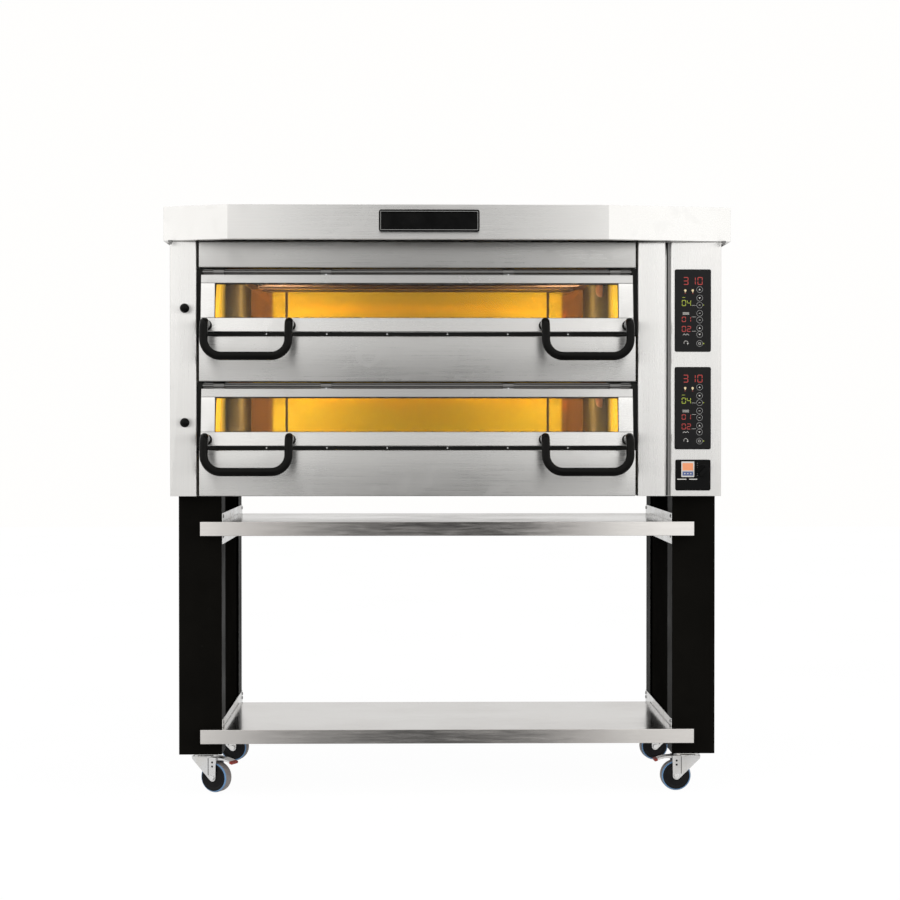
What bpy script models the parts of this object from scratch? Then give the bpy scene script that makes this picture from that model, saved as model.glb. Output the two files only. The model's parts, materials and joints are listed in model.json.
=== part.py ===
"""Twin-deck electric pizza oven on a castor stand.

Metres, +Z up. The origin is on the floor under the middle of the oven; +X is to the right of
someone who faces the oven, and that person stands on the -Y side.
"""

from math import atan2, cos, pi, radians, sin, tan

import bmesh
import bpy
from mathutils import Vector

# ---- Driving dimensions -----------------------------------------------------------------

GAP = 0.0004                    # clearance between neighbouring sheets
SHEET = 0.002                   # thickness of the folded panels

FRONT = -0.3762                 # plane of the body's front panels
BODY_DEPTH = 0.860
BODY_LEFT, BODY_RIGHT = -0.726, 0.7185
BODY_BOTTOM, BODY_TOP = 0.790, 1.456

HOOD_HALF_WIDTH = 0.742
HOOD_BOTTOM, HOOD_TOP = 1.4565, 1.546
HOOD_REACH = 0.068              # how far the hood's middle face stands in front of the body
HOOD_FACE_LEFT, HOOD_FACE_RIGHT = -0.570, 0.417
HOOD_JOINT = 0.060              # where the hood's front ends and its cover begins
HOOD_LIP = 0.022

COLUMN_RIGHT = -0.657           # the left column's inner edge
FASCIA_LEFT, FASCIA_RIGHT = -0.650, 0.493
MID_COLUMN_LEFT, MID_COLUMN_RIGHT = 0.4995, 0.572
CONTROL_LEFT = 0.585
RETURN_DEPTH = 0.060            # how far the folded edges of the front panels run back

DECK_PITCH = 0.298
LOWER_DOOR_BOTTOM = 0.9225
DECKS = {"lower": LOWER_DOOR_BOTTOM, "upper": LOWER_DOOR_BOTTOM + DECK_PITCH}

# Heights above a door's bottom edge.
DOOR_HEIGHT = 0.149
RECESS_TOP = 0.168
HINGE_HEIGHT = 0.1575
SILL_DROP = 0.0115
WINDOW_BOTTOM, WINDOW_TOP = 0.0355, 0.1255
STONE_TOP = 0.003
MOUTH_TOP = 0.141
CEILING = 0.166
STUB_HEIGHT = 0.0155
HANDLE_DROP = 0.067

DOOR_LEFT, DOOR_RIGHT = -0.6446, 0.4859
WINDOW_LEFT, WINDOW_RIGHT = -0.6085, 0.448
DOOR_CENTRE = (DOOR_LEFT + DOOR_RIGHT) / 2
DOOR_TILT = radians(7.5)
HINGE_BACK = 0.014              # hinge axis behind the body's front plane
DOOR_FACE, DOOR_INNER = 0.0088, -0.0092   # measured outwards from the hinge axis
GLASS_BACK, GLASS_FRONT = -0.0038, 0.0014
REBATE = 0.008
ROD_RADIUS = 0.004
KNUCKLE_RADIUS, KNUCKLE_BORE, KNUCKLE_WIDTH = 0.0075, 0.0048, 0.030
KNUCKLE_OFFSETS = (-0.520, -0.239, 0.239, 0.520)

HANDLE_OFFSET, HANDLE_WIDTH = 0.440, 0.218
HANDLE_RADIUS = 0.011
HANDLE_REACH = 0.074            # centre line of the bar, in front of the door's face
HANDLE_CORNER, STUB_CORNER = 0.045, 0.022

CHAMBER_LEFT, CHAMBER_RIGHT = -0.5794, 0.4206
CHAMBER_FRONT, CHAMBER_DEPTH = 0.085, 0.712
STONE_THICKNESS = 0.020
FLOOR_DROP = 0.034              # chamber floor below the door's bottom edge

DAMPER_X, DAMPER_HEIGHT, DAMPER_RADIUS = -0.685, 0.060, 0.0125

GLASS_LEFT, GLASS_RIGHT = 0.596, 0.6905
GLASS_HEIGHT = 0.215
GLASS_BOTTOMS = {"lower": 0.913, "upper": 1.169}
PLATE_LEFT, PLATE_RIGHT, PLATE_BOTTOM, PLATE_TOP = 0.598, 0.690, 0.805, 0.885
SWITCH_X, SWITCH_Z, SWITCH_RADIUS = 0.6705, 0.857, 0.017

LEG_FRONT, STAND_DEPTH = 0.050, 0.600     # behind the body's front plane
LEG_OUTER, LEG_INNER, LEG_RETURN = 0.7098, 0.5965, 0.100
LEG_BOTTOM = 0.105
SHELF_TOPS = {"lower": 0.176, "upper": 0.7224}
SHELF_LIP, SHELF_FRONT, SHELF_DEPTH = 0.037, 0.010, 0.530
SHELF_HALF_WIDTH = 0.649
RAIL_RISE, RAIL_DROPS = 0.021, {"lower": 0.040, "upper": 0.061}

WHEEL_RADIUS, WHEEL_WIDTH, CASTOR_TRAIL = 0.040, 0.032, 0.030
CASTOR_X, CASTOR_INSET = 0.6415, 0.052
CASTOR_ANGLES = {"front_left": -27.0, "front_right": 183.0, "rear_left": -12.0, "rear_right": 188.0}
FORK_TOP, HEAD_TOP = 0.094, 0.0985

BODY_BACK = FRONT + BODY_DEPTH


# ---- Materials --------------------------------------------------------------------------

def material(name, colour, roughness, metallic):
    made = bpy.data.materials.new(name)
    made.use_nodes = True
    shader = made.node_tree.nodes["Principled BSDF"]
    shader.inputs["Base Color"].default_value = (*colour, 1.0)
    shader.inputs["Roughness"].default_value = roughness
    shader.inputs["Metallic"].default_value = metallic
    return made


def clear_scene():
    for old in list(bpy.data.objects):
        bpy.data.objects.remove(old, do_unlink=True)


clear_scene()
BRUSHED = material("brushed_steel", (0.62, 0.61, 0.59), 0.34, 1.0)
POLISHED = material("polished_steel", (0.66, 0.65, 0.63), 0.16, 1.0)
CHAMBER_STEEL = material("chamber_steel", (0.75, 0.55, 0.24), 0.25, 1.0)
BLACK_COAT = material("black_powder_coat", (0.012, 0.011, 0.010), 0.45, 0.0)
BLACK_PLASTIC = material("black_plastic", (0.012, 0.012, 0.012), 0.25, 0.0)
BLACK_GLASS = material("black_glass", (0.008, 0.008, 0.009), 0.08, 0.0)
GLASS = material("clear_glass", (0.95, 0.95, 0.92), 0.03, 0.0)
STONE = material("hearth_stone", (0.55, 0.45, 0.33), 0.85, 0.0)
WOOL = material("mineral_wool", (0.60, 0.56, 0.45), 0.95, 0.0)
ZINC = material("zinc_plate", (0.72, 0.73, 0.74), 0.30, 1.0)
ELEMENT = material("element_steel", (0.20, 0.17, 0.15), 0.50, 1.0)
TYRE = material("blue_rubber", (0.16, 0.34, 0.55), 0.60, 0.0)
LEVER_STEEL = material("lever_steel", (0.70, 0.70, 0.71), 0.32, 1.0)


# ---- Shape helpers ----------------------------------------------------------------------

def from_bmesh(name, bm, mat, smooth=False):
    """An object of this bmesh, with its faces pointing out."""
    bmesh.ops.recalc_face_normals(bm, faces=bm.faces)
    mesh = bpy.data.meshes.new(name)
    bm.to_mesh(mesh)
    bm.free()
    if smooth:
        mesh.shade_smooth()
        mesh.set_sharp_from_angle(angle=radians(35))
    mesh.materials.append(mat)
    made = bpy.data.objects.new(name, mesh)
    bpy.context.scene.collection.objects.link(made)
    return made


def loft(name, first, second, mat, smooth=False):
    """A closed solid between two outlines that have the same number of points."""
    bm = bmesh.new()
    rings = [[bm.verts.new(p) for p in ring] for ring in (first, second)]
    bm.faces.new(rings[0])
    bm.faces.new(list(reversed(rings[1])))
    count = len(first)
    for i in range(count):
        j = (i + 1) % count
        bm.faces.new((rings[0][i], rings[1][i], rings[1][j], rings[0][j]))
    return from_bmesh(name, bm, mat, smooth)


def placed(axis, across, up, along):
    """A point from an outline's two coordinates and its place along the extrusion's axis."""
    return {"X": (along, across, up), "Y": (across, along, up), "Z": (across, up, along)}[axis]


def prism(name, outline, axis, start, end, mat, smooth=False):
    first = [placed(axis, a, b, start) for a, b in outline]
    second = [placed(axis, a, b, end) for a, b in outline]
    return loft(name, first, second, mat, smooth)


def box(name, x, y, z, mat=BRUSHED):
    outline = [(x[0], y[0]), (x[1], y[0]), (x[1], y[1]), (x[0], y[1])]
    return prism(name, outline, "Z", z[0], z[1], mat)


def turned(name, profile, axis, mat, steps=32, closed=False):
    """A turned solid about an axis through the origin, from (radius, height) points."""
    bm = bmesh.new()
    rings = []
    for radius, height in profile:
        turns = 1 if radius == 0 else steps
        angles = [2 * pi * i / turns for i in range(turns)]
        ring = [placed(axis, radius * cos(a), radius * sin(a), height) for a in angles]
        rings.append([bm.verts.new(p) for p in ring])
    pairs = list(zip(rings, rings[1:]))
    if closed:
        pairs.append((rings[-1], rings[0]))
    for low, high in pairs:
        for i in range(steps):
            j = (i + 1) % steps
            corners = [low[i % len(low)], low[j % len(low)], high[j % len(high)], high[i % len(high)]]
            bm.faces.new(list(dict.fromkeys(corners)))
    return from_bmesh(name, bm, mat, smooth=True)


def arc(centre, radius, start, end, steps):
    """Points on an arc, angles in degrees."""
    turns = [radians(start + (end - start) * i / steps) for i in range(steps + 1)]
    return [(centre[0] + radius * cos(a), centre[1] + radius * sin(a)) for a in turns]


def rounded_rectangle(left, bottom, right, top, radius, steps=3):
    return (
        arc((right - radius, bottom + radius), radius, -90, 0, steps)
        + arc((right - radius, top - radius), radius, 0, 90, steps)
        + arc((left + radius, top - radius), radius, 90, 180, steps)
        + arc((left + radius, bottom + radius), radius, 180, 270, steps)
    )


def filleted(points, radii, steps=4):
    """An open path with its inner corners rounded, in two or three dimensions."""
    points = [Vector(p) for p in points]
    path = [points[0]]
    for before, corner, after, radius in zip(points, points[1:], points[2:], radii):
        if radius == 0:
            path.append(corner)
            continue
        back = (before - corner).normalized()
        ahead = (after - corner).normalized()
        half = back.angle(ahead) / 2
        centre = corner + (back + ahead).normalized() * (radius / sin(half))
        start = corner + back * (radius / tan(half)) - centre
        end = corner + ahead * (radius / tan(half)) - centre
        sweep = start.angle(end)
        for i in range(steps + 1):
            t = sweep * i / steps
            path.append(centre + (start * sin(sweep - t) + end * sin(t)) / sin(sweep))
    return path + [points[-1]]


def thickened(path, thickness):
    """The closed outline of a bent sheet, whose material lies to the right of its path."""
    path = [Vector(p) for p in path]
    inner = []
    for i, point in enumerate(path):
        ahead = (path[min(i + 1, len(path) - 1)] - path[min(i, len(path) - 2)]).normalized()
        behind = (path[max(i, 1)] - path[max(i - 1, 0)]).normalized()
        mean = (ahead + behind).normalized()
        normal = Vector((mean.y, -mean.x))
        inner.append(point + normal * thickness / max(mean.dot(ahead), 0.2))
    return [tuple(p) for p in path] + [tuple(p) for p in reversed(inner)]


def hidden(helper):
    helper.hide_render = True
    helper.display_type = "WIRE"
    return helper


def combined(target, helper, operation, solver):
    modifier = target.modifiers.new(operation.lower(), "BOOLEAN")
    modifier.operation = operation
    modifier.solver = solver
    modifier.object = hidden(helper)
    return target


def cut(target, helper, solver="EXACT"):
    return combined(target, helper, "DIFFERENCE", solver)


def fuse(target, helper, solver="EXACT"):
    return combined(target, helper, "UNION", solver)


def tube(name, path, radius, mat, resolution=3):
    """A round bar along a path, with closed ends."""
    curve = bpy.data.curves.new(name, "CURVE")
    curve.dimensions = "3D"
    curve.bevel_depth = radius
    curve.bevel_resolution = resolution
    curve.use_fill_caps = True
    spline = curve.splines.new("POLY")
    spline.points.add(len(path) - 1)
    for spot, point in zip(spline.points, path):
        spot.co = (*point, 1.0)
    curve.materials.append(mat)
    made = bpy.data.objects.new(name, curve)
    bpy.context.scene.collection.objects.link(made)
    return made


def pivot(name, location, rotation=(0, 0, 0)):
    """An empty on a joint's axis, which its moving pieces are parented to."""
    made = bpy.data.objects.new(name, None)
    made.location = location
    made.rotation_euler = rotation
    bpy.context.scene.collection.objects.link(made)
    return made


def carry(parent, *children):
    for child in children:
        child.parent = parent
        for modifier in getattr(child, "modifiers", ()):
            if modifier.object.parent is None:
                modifier.object.parent = parent


# ---- Hood -------------------------------------------------------------------------------

def hood_outline(inset, back):
    """Plan of the faceted hood front, moved inwards, with its open side at the given depth."""
    corner_y = FRONT - 0.004
    outer = [
        (-HOOD_HALF_WIDTH, back),
        (-HOOD_HALF_WIDTH, corner_y),
        (HOOD_FACE_LEFT, FRONT - HOOD_REACH),
        (HOOD_FACE_RIGHT, FRONT - HOOD_REACH),
        (HOOD_HALF_WIDTH, corner_y),
        (HOOD_HALF_WIDTH, back),
    ]
    if inset == 0:
        return outer
    folded = thickened(outer, -inset)
    return folded[len(outer):]


def hood():
    back = FRONT + HOOD_JOINT
    front = prism("hood_front", hood_outline(0, back), "Z", HOOD_BOTTOM, HOOD_TOP, BRUSHED)
    cavity = prism("hood_cavity", hood_outline(SHEET, back + 0.01), "Z",
                   HOOD_BOTTOM + SHEET, HOOD_TOP - SHEET, BRUSHED)
    opening = prism("hood_opening", hood_outline(HOOD_LIP, back + 0.01), "Z",
                    HOOD_BOTTOM - 0.01, HOOD_TOP - 2 * SHEET, BRUSHED)
    cut(front, cavity)
    cut(front, opening)
    start = FRONT + HOOD_JOINT + GAP
    cover = box("hood_cover", (-HOOD_HALF_WIDTH, HOOD_HALF_WIDTH), (start, BODY_BACK), (HOOD_BOTTOM, HOOD_TOP))
    inside = HOOD_HALF_WIDTH - SHEET
    cut(cover, box("cover_cavity", (-inside, inside), (start - 0.01, BODY_BACK - SHEET),
                   (HOOD_BOTTOM - 0.01, HOOD_TOP - SHEET)))


def name_plate():
    """A blank plate in a raised frame on the hood's middle face."""
    face = FRONT - HOOD_REACH - GAP
    centre_x, centre_z, half_width, half_height, rim = -0.0486, 1.5035, 0.130, 0.0285, 0.007
    outline = rounded_rectangle(centre_x - half_width, centre_z - half_height,
                                centre_x + half_width, centre_z + half_height, 0.006)
    plate = prism("name_plate", outline, "Y", face - 0.009, face, BLACK_PLASTIC)
    well = rounded_rectangle(centre_x - half_width + rim, centre_z - half_height + rim,
                             centre_x + half_width - rim, centre_z + half_height - rim, 0.003)
    cut(plate, prism("plate_well", well, "Y", face - 0.02, face - 0.006, BLACK_PLASTIC))


# ---- Body panels ------------------------------------------------------------------------

def column_shell(name, path, radii):
    outline = thickened(filleted(path, radii), SHEET)
    return prism(name, outline, "Z", BODY_BOTTOM, BODY_TOP, BRUSHED, smooth=True)


def left_front_column():
    path = [
        (BODY_LEFT, FRONT + 0.030), (BODY_LEFT, FRONT),
        (COLUMN_RIGHT, FRONT), (COLUMN_RIGHT, FRONT + RETURN_DEPTH),
    ]
    column = column_shell("left_front_column", path[::-1], (0.0035, 0.0035))
    for deck, bottom in DECKS.items():
        hole = turned("damper_hole_" + deck, [(0, -0.02), (0.0052, -0.02), (0.0052, 0.02), (0, 0.02)],
                      "Y", BRUSHED, steps=16)
        hole.location = (DAMPER_X, FRONT, bottom + DAMPER_HEIGHT)
        cut(column, hole)


def mid_column():
    """The right-hand folded edge steps back and runs behind the control box."""
    step = FRONT + 0.0125
    path = [
        (MID_COLUMN_LEFT, FRONT + RETURN_DEPTH), (MID_COLUMN_LEFT, FRONT),
        (MID_COLUMN_RIGHT, FRONT), (MID_COLUMN_RIGHT, step), (MID_COLUMN_RIGHT + 0.030, step),
    ]
    column_shell("mid_column", path[::-1], (0, 0.005, 0.0035))


def control_box_cover():
    path = [
        (CONTROL_LEFT, FRONT + 0.010), (CONTROL_LEFT, FRONT),
        (BODY_RIGHT, FRONT), (BODY_RIGHT, FRONT + 0.120),
    ]
    cover = column_shell("control_box_cover", path[::-1], (0.0035, 0.006))
    windows = [(GLASS_LEFT, z, GLASS_RIGHT, z + GLASS_HEIGHT) for z in GLASS_BOTTOMS.values()]
    windows.append((PLATE_LEFT, PLATE_BOTTOM, PLATE_RIGHT, PLATE_TOP))
    for number, (left, bottom, right, top) in enumerate(windows):
        outline = rounded_rectangle(left - GAP, bottom - GAP, right + GAP, top + GAP, 0.0045)
        cut(cover, prism(f"control_opening_{number}", outline, "Y", FRONT - 0.01, FRONT + 0.009, BRUSHED))


def fascia(name, bottom, top):
    path = [
        (FRONT + RETURN_DEPTH, bottom), (FRONT, bottom),
        (FRONT, top), (FRONT + RETURN_DEPTH, top),
    ]
    outline = thickened(filleted(path, (0.003, 0.003), 3), SHEET)
    prism(name, outline, "X", FASCIA_LEFT, FASCIA_RIGHT, BRUSHED, smooth=True)


def fascias():
    lower, upper = DECKS["lower"], DECKS["upper"]
    fascia("bottom_fascia", BODY_BOTTOM, lower - SILL_DROP)
    fascia("middle_fascia", lower + RECESS_TOP, upper - SILL_DROP)
    fascia("top_fascia", upper + RECESS_TOP, BODY_TOP)


def casing():
    start = FRONT + 0.030 + GAP
    box("left_side_panel", (BODY_LEFT, BODY_LEFT + SHEET), (start, BODY_BACK), (BODY_BOTTOM, BODY_TOP))
    start = FRONT + 0.120 + GAP
    box("right_side_panel", (BODY_RIGHT - SHEET, BODY_RIGHT), (start, BODY_BACK), (BODY_BOTTOM, BODY_TOP))
    inner_x = (BODY_LEFT + SHEET + GAP, BODY_RIGHT - SHEET - GAP)
    floor_y = (FRONT + RETURN_DEPTH + GAP, BODY_BACK - SHEET - GAP)
    box("base_pan", inner_x, floor_y, (BODY_BOTTOM, BODY_BOTTOM + SHEET))
    back = box("back_panel", inner_x, (BODY_BACK - SHEET, BODY_BACK), (BODY_BOTTOM, BODY_TOP))
    gland_x, gland_z = 0.620, 0.860
    hole = turned("gland_hole", [(0, -0.02), (0.0165, -0.02), (0.0165, 0.02), (0, 0.02)], "Y", BRUSHED, 24)
    hole.location = (gland_x, BODY_BACK, gland_z)
    cut(back, hole)
    profile = [
        (0.007, 0.0), (0.0158, 0.0), (0.0158, -0.0135), (0.024, -0.0135), (0.024, -0.0175),
        (0.0155, -0.0175), (0.0155, -0.040), (0.011, -0.046), (0.007, -0.046),
    ]
    gland = turned("cable_gland", profile, "Y", BLACK_PLASTIC, 24, closed=True)
    gland.location = (gland_x, BODY_BACK - 0.0004, gland_z)


# ---- Oven decks -------------------------------------------------------------------------

def chamber(deck, bottom):
    """The baking chamber, with its sloping mouth that the door closes against."""
    front, back = FRONT + CHAMBER_FRONT, FRONT + CHAMBER_FRONT + CHAMBER_DEPTH
    shell = box(
        f"{deck}_chamber",
        (CHAMBER_LEFT - SHEET, CHAMBER_RIGHT + SHEET), (front, back),
        (bottom - FLOOR_DROP - SHEET, bottom + CEILING + SHEET), CHAMBER_STEEL,
    )
    mouth = box(
        f"{deck}_mouth_block", (DOOR_LEFT + 0.004, DOOR_RIGHT - 0.004), (FRONT, front + SHEET / 2),
        (bottom + 0.0005, bottom + DOOR_HEIGHT - 0.0005), CHAMBER_STEEL,
    )
    cavity = box(
        f"{deck}_cavity", (CHAMBER_LEFT, CHAMBER_RIGHT), (front + SHEET, back - SHEET),
        (bottom - FLOOR_DROP, bottom + CEILING), CHAMBER_STEEL,
    )
    fuse(shell, mouth, "MANIFOLD")
    cut(shell, cavity, "MANIFOLD")
    splay, near, far = 0.034, FRONT, front + SHEET
    slope = splay / (far - near)
    reach = 0.004
    wide = rounded_rectangle(CHAMBER_LEFT - splay - slope * reach, bottom + STONE_TOP,
                             CHAMBER_RIGHT + splay + slope * reach, bottom + MOUTH_TOP, 0.001, 1)
    narrow = rounded_rectangle(CHAMBER_LEFT + slope * reach, bottom + STONE_TOP,
                               CHAMBER_RIGHT - slope * reach, bottom + MOUTH_TOP, 0.001, 1)
    flare = loft(f"{deck}_flare", [(x, near - reach, z) for x, z in wide],
                 [(x, far + reach, z) for x, z in narrow], CHAMBER_STEEL)
    cut(shell, flare, "MANIFOLD")
    trim = box(f"{deck}_mouth_trim", (-1.0, 1.0), (-0.3, -DOOR_INNER + 0.0012), (-0.25, 0.08), CHAMBER_STEEL)
    trim.location = (0, FRONT + HINGE_BACK, bottom + HINGE_HEIGHT)
    trim.rotation_euler = (-DOOR_TILT, 0, 0)
    cut(shell, trim, "MANIFOLD")


def hearth_stone(deck, bottom):
    inset = 0.001
    top = bottom + STONE_TOP
    start = FRONT + CHAMBER_FRONT + SHEET + inset
    end = FRONT + CHAMBER_FRONT + CHAMBER_DEPTH - SHEET - inset
    box(f"{deck}_hearth_stone", (CHAMBER_LEFT + inset, CHAMBER_RIGHT - inset), (start, end),
        (top - STONE_THICKNESS, top), STONE)


def top_element(deck, bottom):
    """A tubular heating element that runs to and fro under the chamber's ceiling."""
    runs, radius = 6, 0.0035
    left, right = CHAMBER_LEFT + 0.040, CHAMBER_RIGHT - 0.040
    near, far = FRONT + CHAMBER_FRONT + 0.070, FRONT + CHAMBER_FRONT + CHAMBER_DEPTH - 0.060
    height = bottom + CEILING - 0.009
    corners = []
    for run in range(runs):
        y = near + (far - near) * run / (runs - 1)
        ends = (left, right) if run % 2 == 0 else (right, left)
        corners += [(ends[0], y, height), (ends[1], y, height)]
    radii = [0.030] * (len(corners) - 2)
    tube(f"{deck}_top_element", filleted(corners, radii, 3), radius, ELEMENT, 1)


def oven_lamp(deck, bottom):
    """A round lamp on the chamber's right wall, near its mouth."""
    profile = [(0, 0), (0.019, 0), (0.021, -0.003), (0.019, -0.010), (0.012, -0.016), (0, -0.018)]
    lamp = turned(f"{deck}_oven_lamp", profile, "X", GLASS, 24)
    lamp.location = (CHAMBER_RIGHT - GAP, FRONT + 0.165, bottom + 0.122)


def insulation():
    """Mineral wool above, between and below the chambers, joined behind them."""
    near = FRONT + CHAMBER_FRONT + 0.004
    mid = FRONT + CHAMBER_FRONT + CHAMBER_DEPTH + 0.001
    far = BODY_BACK - 0.040
    low, high = BODY_BOTTOM + 0.004, BODY_TOP - 0.004
    clear = SHEET + 0.001
    outline = [(far, low), (near, low)]
    for bottom in DECKS.values():
        floor, ceiling = bottom - FLOOR_DROP - clear, bottom + CEILING + clear
        outline += [(near, floor), (mid, floor), (mid, ceiling), (near, ceiling)]
    outline += [(near, high), (far, high)]
    prism("insulation", outline, "X", CHAMBER_LEFT - 0.050, CHAMBER_RIGHT + 0.050, WOOL)


# ---- Doors ------------------------------------------------------------------------------

def below_hinge(height, outwards):
    """Distance down the tilted door of a point at this height over the door's bottom edge."""
    return (HINGE_HEIGHT + outwards * sin(DOOR_TILT) - height) / cos(DOOR_TILT)


def door_box(name, x, outwards, down, mat):
    return box(name, x, (-outwards[1], -outwards[0]), (-down[1], -down[0]), mat)


def door_frame(deck):
    top, low = below_hinge(DOOR_HEIGHT, DOOR_FACE), below_hinge(0, DOOR_FACE)
    window_top = below_hinge(WINDOW_TOP, DOOR_FACE)
    window_low = below_hinge(WINDOW_BOTTOM, DOOR_FACE)
    frame = door_box(f"{deck}_door_frame", (DOOR_LEFT, DOOR_RIGHT), (DOOR_INNER, DOOR_FACE), (top, low), BRUSHED)
    for number, offset in enumerate(KNUCKLE_OFFSETS):
        outline = [(KNUCKLE_RADIUS, -top - 0.002)] + arc((0, 0), KNUCKLE_RADIUS, 0, 180, 8)
        outline += [(-KNUCKLE_RADIUS, -top - 0.002)]
        centre = DOOR_CENTRE + offset
        fuse(frame, prism(f"{deck}_knuckle_{number}", outline, "X",
                          centre - KNUCKLE_WIDTH / 2, centre + KNUCKLE_WIDTH / 2, BRUSHED), "MANIFOLD")
    bore = turned(f"{deck}_knuckle_bore", [(0, -0.8), (KNUCKLE_BORE, -0.8), (KNUCKLE_BORE, 0.8), (0, 0.8)],
                  "X", BRUSHED, 16)
    cut(frame, bore, "MANIFOLD")
    cut(frame, door_box(f"{deck}_window_hole", (WINDOW_LEFT, WINDOW_RIGHT), (-0.05, 0.05),
                        (window_top, window_low), BRUSHED), "MANIFOLD")
    cut(frame, door_box(f"{deck}_glass_rebate", (WINDOW_LEFT - REBATE, WINDOW_RIGHT + REBATE),
                        (-0.05, GLASS_FRONT + GAP), (window_top - REBATE, window_low + REBATE), BRUSHED), "MANIFOLD")
    inset = REBATE - GAP
    glass = door_box(f"{deck}_door_glass", (WINDOW_LEFT - inset, WINDOW_RIGHT + inset),
                     (GLASS_BACK, GLASS_FRONT), (window_top - inset, window_low + inset), GLASS)
    return frame, glass


def door_handle(name, centre):
    """A U-shaped bar on two stubs, which hangs below the door's bottom edge."""
    reach = DOOR_FACE + HANDLE_REACH
    stub = -below_hinge(STUB_HEIGHT, DOOR_FACE)
    bar = -below_hinge(-HANDLE_DROP, reach)
    near, left, right = -(DOOR_FACE + GAP), centre - HANDLE_WIDTH / 2, centre + HANDLE_WIDTH / 2
    corners = [
        (left, near, stub), (left, -reach, stub), (left, -reach, bar),
        (right, -reach, bar), (right, -reach, stub), (right, near, stub),
    ]
    radii = (STUB_CORNER, HANDLE_CORNER, HANDLE_CORNER, STUB_CORNER)
    return tube(name, filleted(corners, radii, 5), HANDLE_RADIUS, BLACK_PLASTIC, 3)


def door(deck, bottom):
    axis = (0, FRONT + HINGE_BACK, bottom + HINGE_HEIGHT)
    hinge = pivot(f"{deck}_door_hinge_axis", axis, (-DOOR_TILT, 0, 0))
    carry(hinge, *door_frame(deck))
    for side, offset in (("left", -HANDLE_OFFSET), ("right", HANDLE_OFFSET)):
        carry(hinge, door_handle(f"{deck}_door_{side}_handle", DOOR_CENTRE + offset))
    left, right = COLUMN_RIGHT + GAP, MID_COLUMN_LEFT - GAP
    rod = turned(f"{deck}_hinge_rod", [(0, left), (ROD_RADIUS, left), (ROD_RADIUS, right), (0, right)],
                 "X", ZINC, 12)
    rod.location = axis


def damper_knob(deck, bottom):
    """A ball on a rod, which is pulled out to open the chamber's vent."""
    neck, rod, length = 0.0065, 0.004, 0.085
    centre = -0.0205
    start = atan2(neck, -1.5 * neck)
    turns = [start * (1 - i / 9) for i in range(9)]
    ball = [(DAMPER_RADIUS * sin(a), centre - DAMPER_RADIUS * cos(a)) for a in turns]
    profile = [(0, length), (rod, length), (rod, -0.001), (neck, -0.001)] + ball
    profile.append((0, centre - DAMPER_RADIUS))
    knob = turned(f"{deck}_damper_knob", profile, "Y", BLACK_PLASTIC, 20)
    knob.location = (DAMPER_X, FRONT, bottom + DAMPER_HEIGHT)


# ---- Controls ---------------------------------------------------------------------------

def control_glass(deck, bottom):
    outline = rounded_rectangle(GLASS_LEFT, bottom, GLASS_RIGHT, bottom + GLASS_HEIGHT, 0.004)
    prism(f"{deck}_control_glass", outline, "Y", FRONT - 0.001, FRONT + 0.005, BLACK_GLASS)


def main_switch():
    outline = rounded_rectangle(PLATE_LEFT, PLATE_BOTTOM, PLATE_RIGHT, PLATE_TOP, 0.004)
    plate = prism("switch_plate", outline, "Y", FRONT - 0.001, FRONT + 0.004, BLACK_PLASTIC)
    hole = turned("switch_hole", [(0, -0.02), (0.0065, -0.02), (0.0065, 0.02), (0, 0.02)], "Y", BRUSHED, 16)
    hole.location = (SWITCH_X, FRONT, SWITCH_Z)
    cut(plate, hole)
    profile = [
        (0, 0.016), (0.0055, 0.016), (0.0055, -0.0015), (SWITCH_RADIUS, -0.0015),
        (SWITCH_RADIUS, -0.008), (SWITCH_RADIUS - 0.0015, -0.0095), (0, -0.0095),
    ]
    knob = turned("main_switch_knob", profile, "Y", BLACK_PLASTIC, 28)
    half_length, half_width = SWITCH_RADIUS - 0.001, 0.0045
    outline = rounded_rectangle(-half_length, -half_width, half_length, half_width, 0.004)
    grip = prism("switch_grip", outline, "Y", -0.022, -0.005, BLACK_PLASTIC)
    grip.rotation_euler = (0, -radians(45), 0)
    fuse(knob, grip)
    carry(pivot("main_switch_axis", (SWITCH_X, FRONT, SWITCH_Z)), knob)


# ---- Stand ------------------------------------------------------------------------------

def leg(name, side, end):
    """A folded corner leg: a wide face and two edges that run inwards, on a foot plate."""
    face = FRONT + LEG_FRONT if end == "front" else FRONT + LEG_FRONT + STAND_DEPTH
    inwards = LEG_RETURN if end == "front" else -LEG_RETURN
    path = [
        (side * LEG_OUTER, face + inwards), (side * LEG_OUTER, face),
        (side * LEG_INNER, face), (side * LEG_INNER, face + inwards),
    ]
    turn = side if end == "front" else -side
    outline = thickened(filleted(path, (0.004, 0.004), 3), SHEET * turn)
    made = prism(name, outline, "Z", LEG_BOTTOM, BODY_BOTTOM - GAP, BLACK_COAT, smooth=True)
    inset = 0.001
    x = sorted((side * (LEG_OUTER - inset), side * (LEG_INNER + inset)))
    y = sorted((face + inwards * 0.01, face + inwards))
    fuse(made, box(name + "_foot", x, y, (LEG_BOTTOM, LEG_BOTTOM + 0.004), BLACK_COAT))


def side_infill(name, side):
    """The hollow panel that closes the side of the stand between two legs."""
    inset, recess = 0.006, GAP
    near = FRONT + LEG_FRONT + LEG_RETURN + recess
    far = FRONT + LEG_FRONT + STAND_DEPTH - LEG_RETURN - recess
    x = sorted((side * (LEG_OUTER - inset), side * (LEG_INNER + inset)))
    z = (LEG_BOTTOM, BODY_BOTTOM - GAP)
    panel = box(name, x, (near, far), z, BLACK_COAT)
    cut(panel, box(name + "_hollow", (x[0] + SHEET, x[1] - SHEET), (near + SHEET, far - SHEET),
                   (z[0] - 0.01, z[1] + 0.01), BLACK_COAT))


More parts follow.
